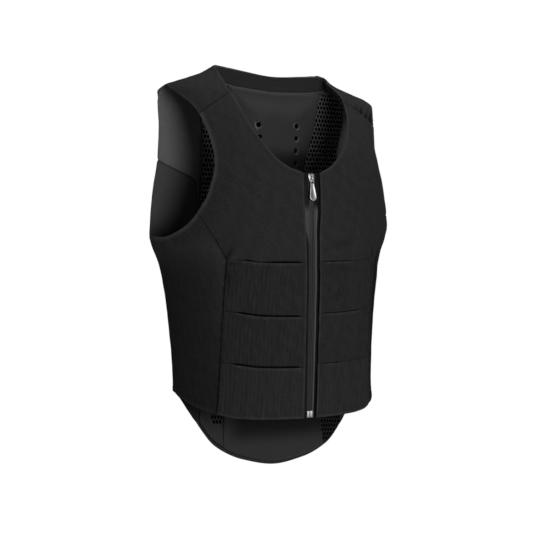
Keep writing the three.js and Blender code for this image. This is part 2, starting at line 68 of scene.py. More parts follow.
# Distance of the front panels' edges from the middle of the zip, by height
FRONT_EDGES = {-523: 10.6, -389: 11.2, -316: 11.4, -250: 11.6, -205: 14.0, -151: 14.2}
SLIDER_HEIGHT = -158.5
END_BOX_HEIGHT = -517

# Stretch bands: the height of each top edge at the zip, and how much higher it ends at the side seam
BANDS = {"upper": (-283, 3), "middle": (-364, 6), "lower": (-441, 5)}
TIERS = list(BANDS)
BAND_TUCK = 11
RIB_PITCH = 2.0
# How far each slit hangs down by the zip, on the wearer's right and left
SLIT_DROPS = {"upper": (4.2, 2.5), "middle": (4.2, 0), "lower": (4.2, 0)}
# Where each slit ends, as a share of the way from the zip to the seam on the wearer's right and left
SLIT_ENDS = {"upper": (0.84, 0.56), "middle": (0.88, 0.74), "lower": (0.9, 0.42)}
# How far the slits gape on the wearer's left, as a share of those on the right
LEFT_GAPE = {"upper": 0.44, "middle": 0.42, "lower": 0.32}
# How far a fully open slit stands out
SLIT_LIFT = 1.9

# Foam plate
PLATE_TOP = -12
PLATE_DROP = 1.5
PLATE_CORNER = -580
HEM_INSET = 5
PLATE_MESH_GAP = 0.8
PLATE_FILLET = 5
PLATE_CROWN_REACH = 45
# How much thinner the plate's edge is under the sleeve of the tail on the wearer's right
EDGE_THINNING = 6.6
HOLE_CORE = 3.9
HOLE_SAG = 2
HOLE_PITCH = 19.6
HOLE_TOP = -68
HOLE_COUNT = 23
# Columns of holes, and how far each of their first rows drifts to the wearer's left
HOLE_COLUMNS = {-34: 2.2, 35.4: 1.2}
DRIFTING_ROWS = 3
# Radius of a hole with its flare, by height over the face
HOLE_PROFILE = {12: 6.6, 0: 6.3, -0.9: 5.6, -2: 4.8, -2.9: HOLE_CORE, -40: HOLE_CORE}

# Distance of the stitching from hems, bands, seams, the zip's edge and the facing's foot
HEM_STITCH = 6.2
BAND_STITCH = 6.3
SEAM_STITCH = 2.6
ZIP_STITCH = 4.2
FACING_STITCH = 2.4

# One girth unit is a quarter of the way round the body, here its length at the chest
QUARTER_GIRTH = 290
# Samples along each row of a panel's edge
FINE = 24
# Rings beside a panel's edge
RIM = np.array([0, 0.3, 0.7, 1.3, 2.1, 3.2, 4.6, 6.2, 8.2])
BAND_RIM = np.array([0, 0.3, 0.7, 1.2, 2.0, 3.0, 4.0, 5.0, 6.0, 7.0])
TUCK_RIM = np.array([0, 4, 7, 8.6, 9.4, 10, 10.5, 11, 11.5, 12, 12.6, 13.4, 14.6])

# The body of the vest, one level section in each row
SECTION_COLUMNS = ("half_width", "front_y", "side_y", "back_y", "front_flat", "back_flat")
SECTIONS = {
    -640: (174, -112, -8, -14, 0.0, 0.5),
    -523: (173, -128, -2, 9, 0.0, 0.5),
    -482: (171, -130, 1, 17, 0.0, 0.5),
    -375: (176.5, -135, 7, 33, 0.04, 0.5),
    -295: (188.5, -139, 11, 39, 0.1, 0.5),
    -245: (203, -140, 14, 39.5, 0.18, 0.5),
    -184: (200.5, -139, 18, 35, 0.38, 0.5),
    -128: (194, -131, 18, 28.5, 0.42, 0.5),
    -72: (190, -106, 18, 24, 0.38, 0.5),
    -30: (190, -72, 17, 22, 0.3, 0.5),
    -18: (178, -57, 15, 21, 0.26, 0.5),
    -10: (158, -45, 13, 20.5, 0.2, 0.45),
    4: (120, -26, 8, 19, 0.1, 0.4),
    18: (96, -10, 3, 16.5, 0.0, 0.2),
    30: (60, -2, 2, 14, 0.0, 0.0),
}

# How far the worn cloth drops towards the wearer's left, for each millimetre from the middle
SHOULDER_LEAN = 0.03
TAIL_LEAN = 0.03
TAIL_TILT = 0.03
# How much lower the collar lies on the wearer's left
COLLAR_DROP = 2.5
# How far the upper back sits to the wearer's left, and the right strap to the right
BACK_SHIFT = 11
STRAP_SHIFT = 7
# How far the neck edge hangs down on the wearer's right
NECK_DIP = 14
# How far the wearer's left side stands out of the even form, and the zip to the right, by height
LEFT_SHIFTS = {
    -500: 0, -430: -1, -353: -2.3, -316: -2.7, -293: -4.5, -270: -6.4, -249: -3.3, -232: -0.8, -200: 0,
    -165: 0, -139: -2, -111: -4.6, -83: 1, -65: 4.2, -46: 3, -25: 0,
}
ZIP_DRIFTS = {-523: 0.5, -400: 0.2, -320: 0.8, -270: 2, -230: 3, -151: 3.2, -100: 0}

# Seam ends that two or more edges share, as (girth, z): girth 0 front, 1 side, 2 centre back
NECK_AT_ZIP = (0.046, ZIP_TOP)
NECK_AT_YOKE_FRONT = (0.337, -30)
NECK_AT_YOKE_BACK = (1.4, 17.2)
NECK_AT_BACK = (2, 10)
ARM_AT_YOKE_BACK = (1.066, -40)
ARM_AT_YOKE_FRONT = (0.578, -66)
ARM_AT_FRONT_SEAM = (0.622, -212)
ARM_AT_BACK_SEAM = (1.16, -129)
BACK_SEAM_TURN = (1.56, -165)
HEM_AT_ZIP = (0.039, ZIP_BOTTOM)
HEM_AT_FRONT_SEAM = (0.576, -514)
HEM_AT_BACK_SEAM = (1.45, -545)
HEM_AT_TAIL = (2, -611)


# Curves and the body's surface

def smooth(knots, values):
    """A smooth curve through the knots that never overshoots them."""
    x = np.asarray(knots, float)
    y = np.asarray(values, float)
    step = np.diff(x)
    rise = np.diff(y) / step
    slopes = np.zeros_like(y)
    slopes[0] = rise[0]
    slopes[-1] = rise[-1]
    for i in range(1, len(x) - 1):
        if rise[i - 1] * rise[i] > 0:
            before = 2 * step[i] + step[i - 1]
            after = step[i] + 2 * step[i - 1]
            slopes[i] = (before + after) / (before / rise[i - 1] + after / rise[i])

    def at(where):
        inside = np.clip(where, x[0], x[-1])
        i = np.clip(np.searchsorted(x, inside) - 1, 0, len(x) - 2)
        t = (inside - x[i]) / step[i]
        hold = (1 + 2 * t) * (1 - t) ** 2
        enter = step[i] * t * (1 - t) ** 2
        leave = step[i] * t * t * (t - 1)
        return y[i] * hold + y[i + 1] * (1 - hold) + slopes[i] * enter + slopes[i + 1] * leave

    return at


def curve(table):
    """A smooth curve through a table of values by place."""
    return smooth(list(table), list(table.values()))


def ease(value, low, high):
    """0 below low and 1 above high, smooth between."""
    t = np.clip((value - low) / (high - low), 0, 1)
    return t * t * (3 - 2 * t)


def bell(value, width, centre=0.0):
    """1 at the centre, falling to 0 on both sides."""
    return np.exp(-(((value - centre) / width) ** 2))


section = {
    column: curve({z: row[i] for z, row in SECTIONS.items()})
    for i, column in enumerate(SECTION_COLUMNS)
}
left_shift = curve(LEFT_SHIFTS)
zip_drift = curve(ZIP_DRIFTS)


def body(u, z):
    """Points on the outer face of the vest."""
    angle = np.asarray(u) * math.pi / 2
    across = np.sin(angle)
    along = np.cos(angle)
    side_y = section["side_y"](z)
    depth = np.where(along >= 0, section["front_y"](z), section["back_y"](z)) - side_y
    flat = np.where(along >= 0, section["front_flat"](z), section["back_flat"](z))
    reach = np.abs(along) * np.sqrt(1 + flat * across**2)
    x = section["half_width"](z) * across
    lean = SHOULDER_LEAN * ease(z, -150, -20) + TAIL_LEAN * (1 - ease(z, -560, -380)) * ease(-along, 0, 0.5)
    lean = lean + TAIL_TILT * bell(z, 35, -540) * ease(-along, 0, 0.5)
    strap = STRAP_SHIFT * ease(z, -130, -60) * (1 - ease(z, -25, 5)) * ease(along, 0.1, 0.5)
    shift = back_shift(z) * ease(-along, 0.25, 0.9) - strap * ease(-across, 0.2, 0.45)
    shift = shift + left_shift(z) * ease(across, 0.45, 0.85)
    shift = shift - zip_drift(z) * bell(x, 45) * ease(along, 0.3, 0.8)
    collar = COLLAR_DROP * ease(across, 0.5, 0.8) * ease(z, -25, 3) * ease(along, -0.45, -0.05)
    return np.stack([x + shift, side_y + depth * reach, z - lean * x - collar], axis=-1)


def back_shift(z):
    return BACK_SHIFT * ease(z, -330, -120)


def paired(one, other):
    return np.stack([one, other], axis=-1)


def turns(count):
    """Even angles round a full turn."""
    return np.linspace(0, 2 * math.pi, count, endpoint=False)


def unit(vectors):
    return vectors / np.linalg.norm(vectors, axis=-1, keepdims=True)


def reaches(points):
    """Length of the way along a line of points, at each of them."""
    return np.concatenate([[0], np.cumsum(np.linalg.norm(np.diff(points, axis=0), axis=1))])


def slopes_on_body(u, z):
    """How a point moves with girth and with height."""
    du = 0.004
    dz = 0.4
    round_body = (body(u + du, z) - body(u - du, z)) / (2 * du)
    rising = (body(u, z + dz) - body(u, z - dz)) / (2 * dz)
    return round_body, rising


def outward(u, z):
    """The outer face's normals."""
    round_body, rising = slopes_on_body(u, z)
    return unit(np.cross(round_body, rising))


def off_body(u, z, offset):
    """The same points moved out along the normal."""
    return body(u, z) + outward(u, z) * np.asarray(offset)[..., None]


def front_girth(x, z):
    """Girth of a point of the front at a distance x from the middle."""
    return np.arcsin(x / section["half_width"](z)) * 2 / math.pi


def back_girth(x, z):
    return 2 - front_girth(x, z)


class Path:
    """A curve drawn on the body through (girth, z) points."""

    def __init__(self, *points):
        self.points = list(points)
        ends = np.array(points, float)
        self.reach = reaches(ends * (QUARTER_GIRTH, 1))
        self.girth = smooth(self.reach, ends[:, 0])
        self.height = smooth(self.reach, ends[:, 1])

    def between(self, start, end, rows):
        first, last = (self.reach[self.points.index(point)] for point in (start, end))
        at = np.linspace(first, last, rows * FINE + 1)
        return paired(self.girth(at), self.height(at))

    def whole(self, rows):
        return self.between(self.points[0], self.points[-1], rows)


def straight(start, end, rows):
    return Path(tuple(start), tuple(end)).whole(rows)


def mirrored(edge):
    """The same edge on the other half of the back, from the far end on."""
    return (edge * (-1, 1) + (4, 0))[::-1]


# Edges and seams of the left half
NECK = Path(
    NECK_AT_ZIP, (0.1, -143), (0.165, -126), (0.255, -90), (0.31, -55), NECK_AT_YOKE_FRONT,
    (0.37, -17), (0.57, 1.5), (0.72, 10.5), (0.95, 17.3), (1.2, 18.2), NECK_AT_YOKE_BACK, (1.68, 14),
    NECK_AT_BACK, (2.32, 14),
)
ARM = Path(
    ARM_AT_YOKE_BACK, (1, -18), (0.86, -22), (0.74, -31), ARM_AT_YOKE_FRONT, (0.55, -100), (0.535, -140),
    (0.565, -184), ARM_AT_FRONT_SEAM, (0.66, -225), (0.74, -239), (0.86, -248), (1, -246), (1.07, -228),
    (1.12, -180), ARM_AT_BACK_SEAM,
)
ARM_BACK = Path(ARM_AT_YOKE_BACK, (1.13, -80), ARM_AT_BACK_SEAM)
BACK_SEAM = Path(
    ARM_AT_BACK_SEAM, (1.38, -142.5), BACK_SEAM_TURN, (1.6, -250), (1.61, -400), HEM_AT_BACK_SEAM,
)
HEM = Path(
    HEM_AT_ZIP, (0.3, -522), (0.45, -520), HEM_AT_FRONT_SEAM, (0.75, -505), (1.05, -485), (1.24, -500),
    HEM_AT_BACK_SEAM, (1.6, -579.5), (1.8, -602), HEM_AT_TAIL, (2.2, -602),
)
FACING_EDGE = Path(
    (0.37, -18), (0.57, 0.5), (0.72, 9.5), (0.95, 16.3), (1.2, 17.2), (1.4, 16.2), (1.68, 13), (2, 9),
)
FACING_FOOT = Path(
    (0.425, -25), (0.56, -8), (0.8, 5), (1, 9), (1.25, 6), (1.5, -3), (1.75, -11), (2, -15),
)
MESH_SIDE = Path((1.51, -5), (1.54, -60), (1.585, -166), (1.615, -250), (1.625, -400), (1.47, -540))
FRONT_SEAM = [
    HEM_AT_FRONT_SEAM, (0.566, -470), (0.545, -413), (0.511, -334), (0.482, -293), (0.472, -282),
    (0.481, -274), (0.514, -252), ARM_AT_FRONT_SEAM,
]
front_seam_girth = smooth([z for _, z in FRONT_SEAM], [u for u, _ in FRONT_SEAM])
front_edge = curve(FRONT_EDGES)
PLATE_HALF_WIDTHS = {
    -610: 90, -530: 87, -470: 79, -400: 69, -300: 60, -200: 58, -140: 61, -60: 77, -12: 85,
}
plate_half = curve(PLATE_HALF_WIDTHS)


def levels(top, bottom, rows):
    return np.linspace(top, bottom, rows * FINE + 1)


def front_seam(top, bottom, rows):
    z = levels(top, bottom, rows)
    return paired(front_seam_girth(z), z)


def zip_edge(top, bottom, rows):
    z = levels(top, bottom, rows)
    return paired(front_girth(front_edge(z), z), z)


def hung(neck):
    """The neck edge as it hangs on the wearer's right."""
    girth, z = neck[:, 0], neck[:, 1]
    dip = NECK_DIP * ease(girth, 0.05, 0.23) * (1 - ease(girth, 0.265, 0.337))
    return paired(girth, z - dip)


def slit(tier, rows, sign, drop=0):
    """The top edge of a stretch band from the zip to the front seam, or a line that far below it."""
    share = np.linspace(0, 1, rows * FINE + 1)
    z = slit_height(tier, share, sign) - drop
    return paired((1 - share) * front_girth(front_edge(z), z) + share * front_seam_girth(z), z)


def slit_height(tier, share, sign):
    """Height of a slit, which hangs lower by the zip."""
    top, rise = BANDS[tier]
    drop = np.where(np.asarray(sign) < 0, *SLIT_DROPS[tier])
    return top + rise * share**2 - drop * (1 - ease(share, 0.5, 1))


def share_to_seam(u, z):
    """0 at the zip edge of the front and 1 at its side seam."""
    near = front_girth(front_edge(z), z)
    return np.clip((np.abs(u) - near) / (front_seam_girth(z) - near), 0, 1)


hem_back = HEM.between(HEM_AT_BACK_SEAM, HEM_AT_TAIL, 8)
hem_height = smooth(hem_back[:, 0], hem_back[:, 1])
facing_foot = FACING_FOOT.whole(20)
foot_height = smooth(facing_foot[:, 0], facing_foot[:, 1])


# Panels: a smooth grid between four edges

def shares(edge):
    """How far along an edge each of its points lies, from 0 to 1."""
    reach = reaches(body(edge[:, 0], edge[:, 1]))
    return reach / reach[-1]


def joined(stretches):
    return np.concatenate([stretches[0][0]] + [points[1:] for points, _ in stretches[1:]])


def sample(edge, index):
    places = np.arange(len(edge))
    return paired(np.interp(index, places, edge[:, 0]), np.interp(index, places, edge[:, 1]))


class Ground:
    """A panel's ground between four edges that share corners, each a list of (points, style)."""

    def __init__(self, top, bottom, left, right, side=1):
        self.stretches = [*top, *bottom, *left, *right]
        self.top, self.bottom, self.left, self.right = map(joined, (top, bottom, left, right))
        self.across = (shares(self.top) + shares(self.bottom)) / 2
        self.down = (shares(self.left) + shares(self.right)) / 2
        self.side = side

    def at(self, s, t):
        """Girth and height at shares s across and t down."""
        column = np.interp(s, self.across, np.arange(len(self.across)))
        row = np.interp(t, self.down, np.arange(len(self.down)))
        s = s[..., None]
        t = t[..., None]
        over = (1 - s) * sample(self.left, row) + s * sample(self.right, row)
        down = (1 - t) * sample(self.top, column) + t * sample(self.bottom, column)
        corners = (1 - t) * ((1 - s) * self.top[0] + s * self.top[-1])
        corners = corners + t * ((1 - s) * self.bottom[0] + s * self.bottom[-1])
        grid = over + down - corners
        return grid[..., 0] * self.side, grid[..., 1]

    def sizes(self):
        """Lengths of the rows and of the columns, with the shares where they were taken."""
        probe = np.linspace(0, 1, 41)
        t, s = np.meshgrid(probe, probe, indexing="ij")
        points = body(*self.at(s, t))
        widths = np.linalg.norm(np.diff(points, axis=1), axis=2).sum(axis=1)
        heights = np.linalg.norm(np.diff(points, axis=0), axis=2).sum(axis=0)
        return probe, widths, heights

    def grid(self, cell, columns=None, rim=RIM, top_rim=None, foot_rim=None):
        """Shares s and t of a grid with close rings by its rim and even cells between."""
        top_rim = rim if top_rim is None else top_rim
        foot_rim = rim if foot_rim is None else foot_rim
        probe, widths, heights = self.sizes()
        columns = columns or math.ceil(widths.max() / cell)
        rows = math.ceil(heights.max() / cell)
        over = steps(widths.mean(), columns, rim, rim)
        down = steps(heights.mean(), rows, top_rim, foot_rim)
        s = np.array([steps(np.interp(t, probe, widths), columns, rim, rim) for t in down])
        t = np.array([steps(np.interp(s, probe, heights), rows, top_rim, foot_rim) for s in over]).T
        return s, t

    def distance(self, points, style):
        """How far the points lie from the nearest edge of that style."""
        edges = [edge * (self.side, 1) for edge, kind in self.stretches if kind == style]
        if not edges:
            return np.full(points.shape[:-1], 1e3)
        return np.minimum.reduce([distance_to_line(points, body(edge[:, 0], edge[:, 1])) for edge in edges])


def steps(length, count, first, last):
    inner = np.linspace(first[-1], length - last[-1], count + 2)[1:-1]
    return np.concatenate([first, inner, length - last[::-1]]) / length


def distance_to_line(points, edge):
    tree = KDTree(len(edge))
    for i, point in enumerate(edge):
        tree.insert(point, i)
    tree.balance()
    flat = points.reshape(-1, 3)
    nearest = np.array([tree.find(point)[1] for point in flat])
    found = np.full(len(flat), 1e9)
    for first in (np.maximum(nearest - 1, 0), np.minimum(nearest, len(edge) - 2)):
        start = edge[first]
        along = edge[first + 1] - start
        t = np.clip(((flat - start) * along).sum(axis=1) / (along**2).sum(axis=1), 0, 1)
        found = np.minimum(found, np.linalg.norm(flat - start - along * t[:, None], axis=1))
    return found.reshape(points.shape[:-1])


# Relief of the cloth

def ripple(points, wave, seed):
    """Soft unevenness of about that wavelength, between about -1 and 1."""
    draws = np.random.default_rng(seed)
    total = np.zeros(points.shape[:-1])
    count = 7
    for _ in range(count):
        direction = unit(draws.normal(size=3))
        rate = 2 * math.pi / wave * draws.uniform(0.7, 1.4)
        total += np.sin(points @ direction * rate + draws.uniform(0, 2 * math.pi))
    return total / math.sqrt(count)


# Creases: from (girth, z) to (girth, z), with their width and height
CREASES = [
    ((-0.474, -281), (-0.425, -262), 3.2, -2.2),
    ((-0.47, -284), (-0.41, -277), 3.0, 1.5),
    ((-0.475, -287), (-0.43, -288), 2.6, -1.6),
    ((-0.482, -292), (-0.478, -325), 3.6, -1.6),
    ((-0.50, -270), (-0.53, -262), 4.0, 1.2),
    ((0.474, -281), (0.43, -262), 4.0, -1.8),
    ((0.41, -38), (0.57, -59), 4.0, -2.2),
    ((0.43, -42), (0.455, -33), 2.4, -2.0),
    ((0.47, -47), (0.505, -37), 2.8, -3.4),
    ((0.51, -53), (0.55, -42), 2.8, -3.6),
    ((0.545, -60), (0.61, -46), 3.4, -4.4),
    ((0.49, -50), (0.53, -40), 2.0, 2.0),
    ((0.555, -68), (0.585, -48), 3.0, -2.6),
    ((0.10, -262), (0.24, -254), 6.0, -1.2),
    ((0.10, -292), (0.27, -300), 7.0, -0.9),
    ((0.09, -345), (0.2, -330), 7.0, -0.9),
]


def creases(points):
    """Height of the creases."""
    height = np.zeros(points.shape[:-1])
    for start, end, width, rise in CREASES:
        first, last = body(*start), body(*end)
        along = last - first
        t = np.clip((points - first) @ along / (along @ along), 0, 1)
        away = np.linalg.norm(points - first - t[..., None] * along, axis=-1)
        height = height + rise * bell(away, width) * (0.35 + 0.65 * np.sin(math.pi * t))
    return height


def relief(points):
    """How far the cloth stands out of the plain body."""
    return 0.45 * ripple(points, 90, 3) + 0.2 * ripple(points, 28, 4) + creases(points)


def rounding(distance, radius):
    """Drop of a round edge, from 1 at the edge to 0 at the radius."""
    return 1 - np.sqrt(np.clip(1 - (1 - np.minimum(distance, radius) / radius) ** 2, 0, 1))


def edge_profile(distance, thickness):
    """Change of the outer and inner face beside a turned edge: a round lip and a raised hem."""
    radius = thickness / 2
    lip = rounding(distance, radius) * (radius - 0.15)
    hem = 0.3 * (1 - ease(distance, 5.4, 7.6)) - 0.14 * bell(distance, 0.8, HEM_STITCH)
    return hem - lip, lip


def seam_profile(distance, points):
    """Change of the outer and inner face beside a seam: a groove with slight puckers over a taped seam."""
    groove = -1.3 * bell(distance, 1.1) - 0.5 * bell(distance, 5)
    tape = -0.55 * (1 - ease(distance, 4.0, 5.0)) + 0.4 * bell(distance, 0.9)
    return groove + 0.3 * np.exp(-distance / 9) * ripple(points, 13, 5), tape


# Tone of cloth beside its edges, a painted highlight where they catch the light, and painted shade in its
# seams
EDGE_LIGHT = 0.4
ARM_LIGHT = 0.95
SEAM_DARK = 0.62
FAINT_DARK = 0.3
# Widths of the painted shade in the seams outside and inside, how far the painted shade and highlight of
# creases change the tone, and how much the tone differs at random
SEAM_WIDTH = 1.8
FAINT_WIDTH = 1.1
LINING_SEAM_WIDTH = 1.4
CREASE_SHADING = 0.19
MOTTLE = 0.05


def seam_strength(z):
    """How dark a seam's painted shade is at a height: the seams fade towards the arms."""
    return 1 - 0.5 * ease(z, -282, -262) - 0.35 * ease(z, -258, -228)


# Mesh objects

def volume(points, faces):
    corners = points[faces]
    total = 0.0
    for i in range(1, faces.shape[1] - 1):
        total += np.einsum("ij,ij->i", corners[:, 0], np.cross(corners[:, i], corners[:, i + 1])).sum()
    return total


def add_object(name, data):
    found = bpy.data.objects.new(name, data)
    bpy.context.scene.collection.objects.link(found)
    return found


def add_mesh(name, verts, faces):
    """An object of these points, in metres."""
    mesh = bpy.data.meshes.new(name)
    mesh.from_pydata(verts, [], faces)
    return add_object(name, mesh)


def mark(mesh, name, values):
    """A value on each point of a mesh, which its material reads."""
    mesh.attributes.new(name, "FLOAT", "POINT").data.foreach_set("value", values)


def outward_faces(mesh, smallest_edge=None):
    """Turns all faces outward, after removing edges shorter than the smallest, if one is given."""
    work = bmesh.new()
    work.from_mesh(mesh)
    if smallest_edge:
        bmesh.ops.dissolve_degenerate(work, dist=smallest_edge, edges=work.edges)
    bmesh.ops.recalc_face_normals(work, faces=work.faces)
    work.to_mesh(mesh)
    work.free()


def apply_modifiers(piece):
    """Keeps the shape that the modifiers give and removes them."""
    graph = bpy.context.evaluated_depsgraph_get()
    shaped = bpy.data.meshes.new_from_object(piece.evaluated_get(graph))
    piece.modifiers.clear()
    old = piece.data
    piece.data = shaped
    bpy.data.meshes.remove(old)


def tube_faces(sides, rings, start=0, capped=True):
    """Faces through rings of points, with two end caps or with the last ring joined to the first."""
    faces = []
    for level in range(rings - 1):
        for k in range(sides):
            a = start + level * sides + k
            b = start + level * sides + (k + 1) % sides
            faces.append((a, b, b + sides, a + sides))
    last = start + (rings - 1) * sides
    if capped:
        faces.append(tuple(range(start, start + sides))[::-1])
        faces.append(tuple(range(last, last + sides)))
    else:
        for k in range(sides):
            n = (k + 1) % sides
            faces.append((last + k, last + n, start + n, start + k))
    return faces


def grid_faces(rows, columns, start=0):
    first = start + (np.arange(rows - 1)[:, None] * columns + np.arange(columns - 1)).ravel()
    return np.stack([first, first + columns, first + columns + 1, first + 1], axis=1)


def wall(name, outer, inner, flat_points):
    """A closed wall between two grids of points, in millimetres, with a cloth map.

    Its inner faces take the second material, if any.
    """
    rows, columns = outer.shape[:2]
    count = rows * columns
    rim = np.concatenate([
        np.arange(columns - 1),
        np.arange(rows - 1) * columns + columns - 1,
        count - 1 - np.arange(columns - 1),
        (rows - 1 - np.arange(rows - 1)) * columns,
    ])
    after = np.roll(rim, -1)
    faces = np.concatenate([
        grid_faces(rows, columns),
        grid_faces(rows, columns, count)[:, ::-1],
        np.stack([rim, after, after + count, rim + count], axis=1),
    ])
    points = np.concatenate([outer.reshape(-1, 3), inner.reshape(-1, 3)])
    flat = np.concatenate([flat_points.reshape(-1, 2)] * 2)
    if volume(points, faces) < 0:
        faces = faces[:, ::-1]
    piece = add_mesh(name, (points * MM).tolist(), faces.tolist())
    piece.data.shade_smooth()
    layer = piece.data.uv_layers.new(name="cloth")
    layer.uv.foreach_set("vector", (flat[faces.ravel()] * MM).ravel())
    piece.data.validate()
    cells = (rows - 1) * (columns - 1)
    sides = np.zeros(len(faces), int)
    sides[cells:2 * cells] = 1
    piece.data.polygons.foreach_set("material_index", sides)
    return piece


def tint(piece, outer, inner):
    """Tones of a wall's two faces, which its material multiplies its colour by."""
    mark(piece.data, "tone", np.concatenate([outer.ravel(), inner.ravel()]))


def dress(piece, material, nodes=(), body_name="vest"):
    """Gives a piece its material and body, and hides the parts of the nodes that it stands for."""
    piece.data.materials.append(material)
    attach(piece, body_name)
    if nodes:
        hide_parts(*nodes)
    return piece


def cloth(name, ground, node, material, shape=None, shade=None, base=0.0, thickness=CLOTH, cell=4.0,
          columns=None, rim=RIM, top_rim=None, foot_rim=None, inner_material=None,
          lining_tone=1.0):
    """A cloth panel over a ground; shape gives the extra height and shade the tone of its outer face."""
    s, t = ground.grid(cell, columns, rim, top_rim, foot_rim)
    u, z = ground.at(s, t)
    points = body(u, z)
    height = base + relief(points)
    if shape:
        height = height + shape(s, t, u, z)
    from_edge, from_arm, from_slit, from_seam, from_faint = (
        ground.distance(points, style) for style in ("turned", "arm", "slit", "seam", "faint")
    )
    turned, under = edge_profile(np.minimum.reduce([from_edge, from_arm, from_slit]), thickness)
    seam, tape = seam_profile(np.minimum(from_seam, from_faint), points)
    outer = off_body(u, z, height + turned + seam)
    inner = off_body(u, z, height - thickness + under + tape)
    piece = wall(name, outer, inner, paired(u * QUARTER_GIRTH, z))
    # Painted highlight beside edges; painted shade in the seams, varied along them, and in the lining's
    # seams; painted shade in creases and a painted highlight on their ridges; the tone also differs at random
    tone = 1 + EDGE_LIGHT * (1 - ease(from_edge, 1.0, 5.5)) + ARM_LIGHT * (1 - ease(from_arm, 2.0, 8.5))
    pucker = np.clip(0.85 + 0.3 * ripple(points, 11, 21), 0.3, 1.2)
    tone = tone - SEAM_DARK * seam_strength(z) * pucker * bell(from_seam, SEAM_WIDTH)
    tone = tone - FAINT_DARK * bell(from_faint, FAINT_WIDTH)
    tone = tone * np.clip(1 + CREASE_SHADING * creases(points), 0.25, 1.4)
    tone = tone * (1 + MOTTLE * ripple(points, 17, 15))
    if shade:
        tone = tone * shade(u, z)
    if callable(lining_tone):
        lining_tone = lining_tone(z)
    tint(piece, tone, lining_tone * (1 - SEAM_DARK * bell(from_seam, LINING_SEAM_WIDTH)))
    dress(piece, material, [node])
    piece.data.materials.append(inner_material or material)
    _, widths, heights = ground.sizes()
    one_way = points[1:, 1:] - points[:-1, :-1]
    other_way = points[1:, :-1] - points[:-1, 1:]
    area = np.linalg.norm(np.cross(one_way, other_way), axis=2).sum() / 2 * MM * MM
    width, length = widths.max() * MM, heights.max() * MM
    width = max(width, area / length)
    return piece


# Materials

# Darkest and lightest colour of each; the lining's light colour is painted light, and the spacer's second one
# is painted shade deep in its cells
SHADES = {
    "softshell": ((0.0225, 0.0227, 0.0237), (0.0335, 0.0337, 0.0350)),
    "facing": ((0.0275, 0.0277, 0.0288), (0.0375, 0.0377, 0.0390)),
    "lining": ((0.1160, 0.1167, 0.1196), (0.1420, 0.1430, 0.1465)),
    "stretch": ((0.0205, 0.0207, 0.0216), (0.0305, 0.0307, 0.0319)),
    "foam": ((0.0350, 0.0354, 0.0368), (0.0408, 0.0412, 0.0430)),
    "spacer": ((0.150, 0.1507, 0.154), (0.0008, 0.0008, 0.0009)),
    "satin": ((0.047, 0.0475, 0.050), (0.058, 0.0586, 0.0616)),
    "chrome": ((0.40, 0.405, 0.41), (0.50, 0.50, 0.51)),
    "thread": ((0.012, 0.0122, 0.013), (0.022, 0.0223, 0.0235)),
    "floor": ((0.8, 0.8, 0.8), (0.84, 0.84, 0.84)),
}
SLEEVE_COLOUR = (0.035, 0.0353, 0.0365, 1)
# Heights between which the plate's foam goes over to the sleeve of the tail, in metres
SLEEVE_TOP = (-0.515, -0.505)
# Noise scales of the cloth's grain and nap
GRAIN = 420.0
NAP = 2600.0
STRETCH_NAP = 2400.0


class Finish:
    """A procedural material with short calls to add and link its nodes."""

    def __init__(self, name, **sockets):
        self.material = bpy.data.materials.new(name)
        self.material.use_nodes = True
        self.tree = self.material.node_tree
        self.shader = self.tree.nodes["Principled BSDF"]
        for socket, value in sockets.items():
            self.shader.inputs[socket.replace("_", " ")].default_value = value

    def add(self, kind, inputs=None, **settings):
        node = self.tree.nodes.new("ShaderNode" + kind)
        for key, value in settings.items():
            setattr(node, key, value)
        for socket, value in (inputs or {}).items():
            if isinstance(value, bpy.types.NodeSocket):
                self.tree.links.new(value, node.inputs[socket])
            else:
                node.inputs[socket].default_value = value
        return node

    def finished(self, colour, roughness, normal):
        """The material with its three varied inputs linked."""
        for socket, output in (("Base Color", colour), ("Roughness", roughness), ("Normal", normal)):
            self.tree.links.new(output, self.shader.inputs[socket])
        return self.material

    def cloth_map(self):
        return self.add("UVMap", uv_map="cloth").outputs["UV"]

    def place(self):
        return self.add("TexCoord").outputs["Object"]

    def noise(self, scale, detail=3.0, vector=None):
        inputs = {"Vector": vector or self.place(), "Scale": scale, "Detail": detail}
        return self.add("TexNoise", inputs).outputs["Fac"]

    def wave(self, direction, pitch, vector, distortion=0.0):
        """Even lines at that pitch, in metres."""
        scale = 2 * math.pi / 20 / pitch
        inputs = {"Vector": vector, "Scale": scale, "Distortion": distortion, "Detail": 1.0}
        return self.add("TexWave", inputs, bands_direction=direction).outputs["Fac"]

    def mix(self, operation, one, other):
        return self.add("Math", {0: one, 1: other}, operation=operation).outputs["Value"]

    def between(self, value, low, high, start=0.0, end=1.0):
        inputs = {"Value": value, "From Min": start, "From Max": end, "To Min": low, "To Max": high}
        return self.add("MapRange", inputs).outputs["Result"]

    def shades(self, value, dark, light, start=0.3, end=0.7):
        ramp = self.add("ValToRGB", {"Fac": value})
        ramp.color_ramp.elements[0].color = (*dark, 1)
        ramp.color_ramp.elements[1].color = (*light, 1)
        ramp.color_ramp.elements[0].position = start
        ramp.color_ramp.elements[1].position = end
        return ramp.outputs["Color"]

    def toned(self, colour):
        """The colour times the tone that the mesh carries."""
        tone = self.add("Attribute", attribute_name="tone").outputs["Fac"]
        mix = self.add("Mix", {"Factor": 1.0, 6: colour, 7: tone}, data_type="RGBA", blend_type="MULTIPLY")
        return mix.outputs[2]

    def bump(self, height, distance, strength=1.0, under=None):
        inputs = {"Height": height, "Distance": distance, "Strength": strength}
        if under:
            inputs["Normal"] = under
        return self.add("Bump", inputs).outputs["Normal"]


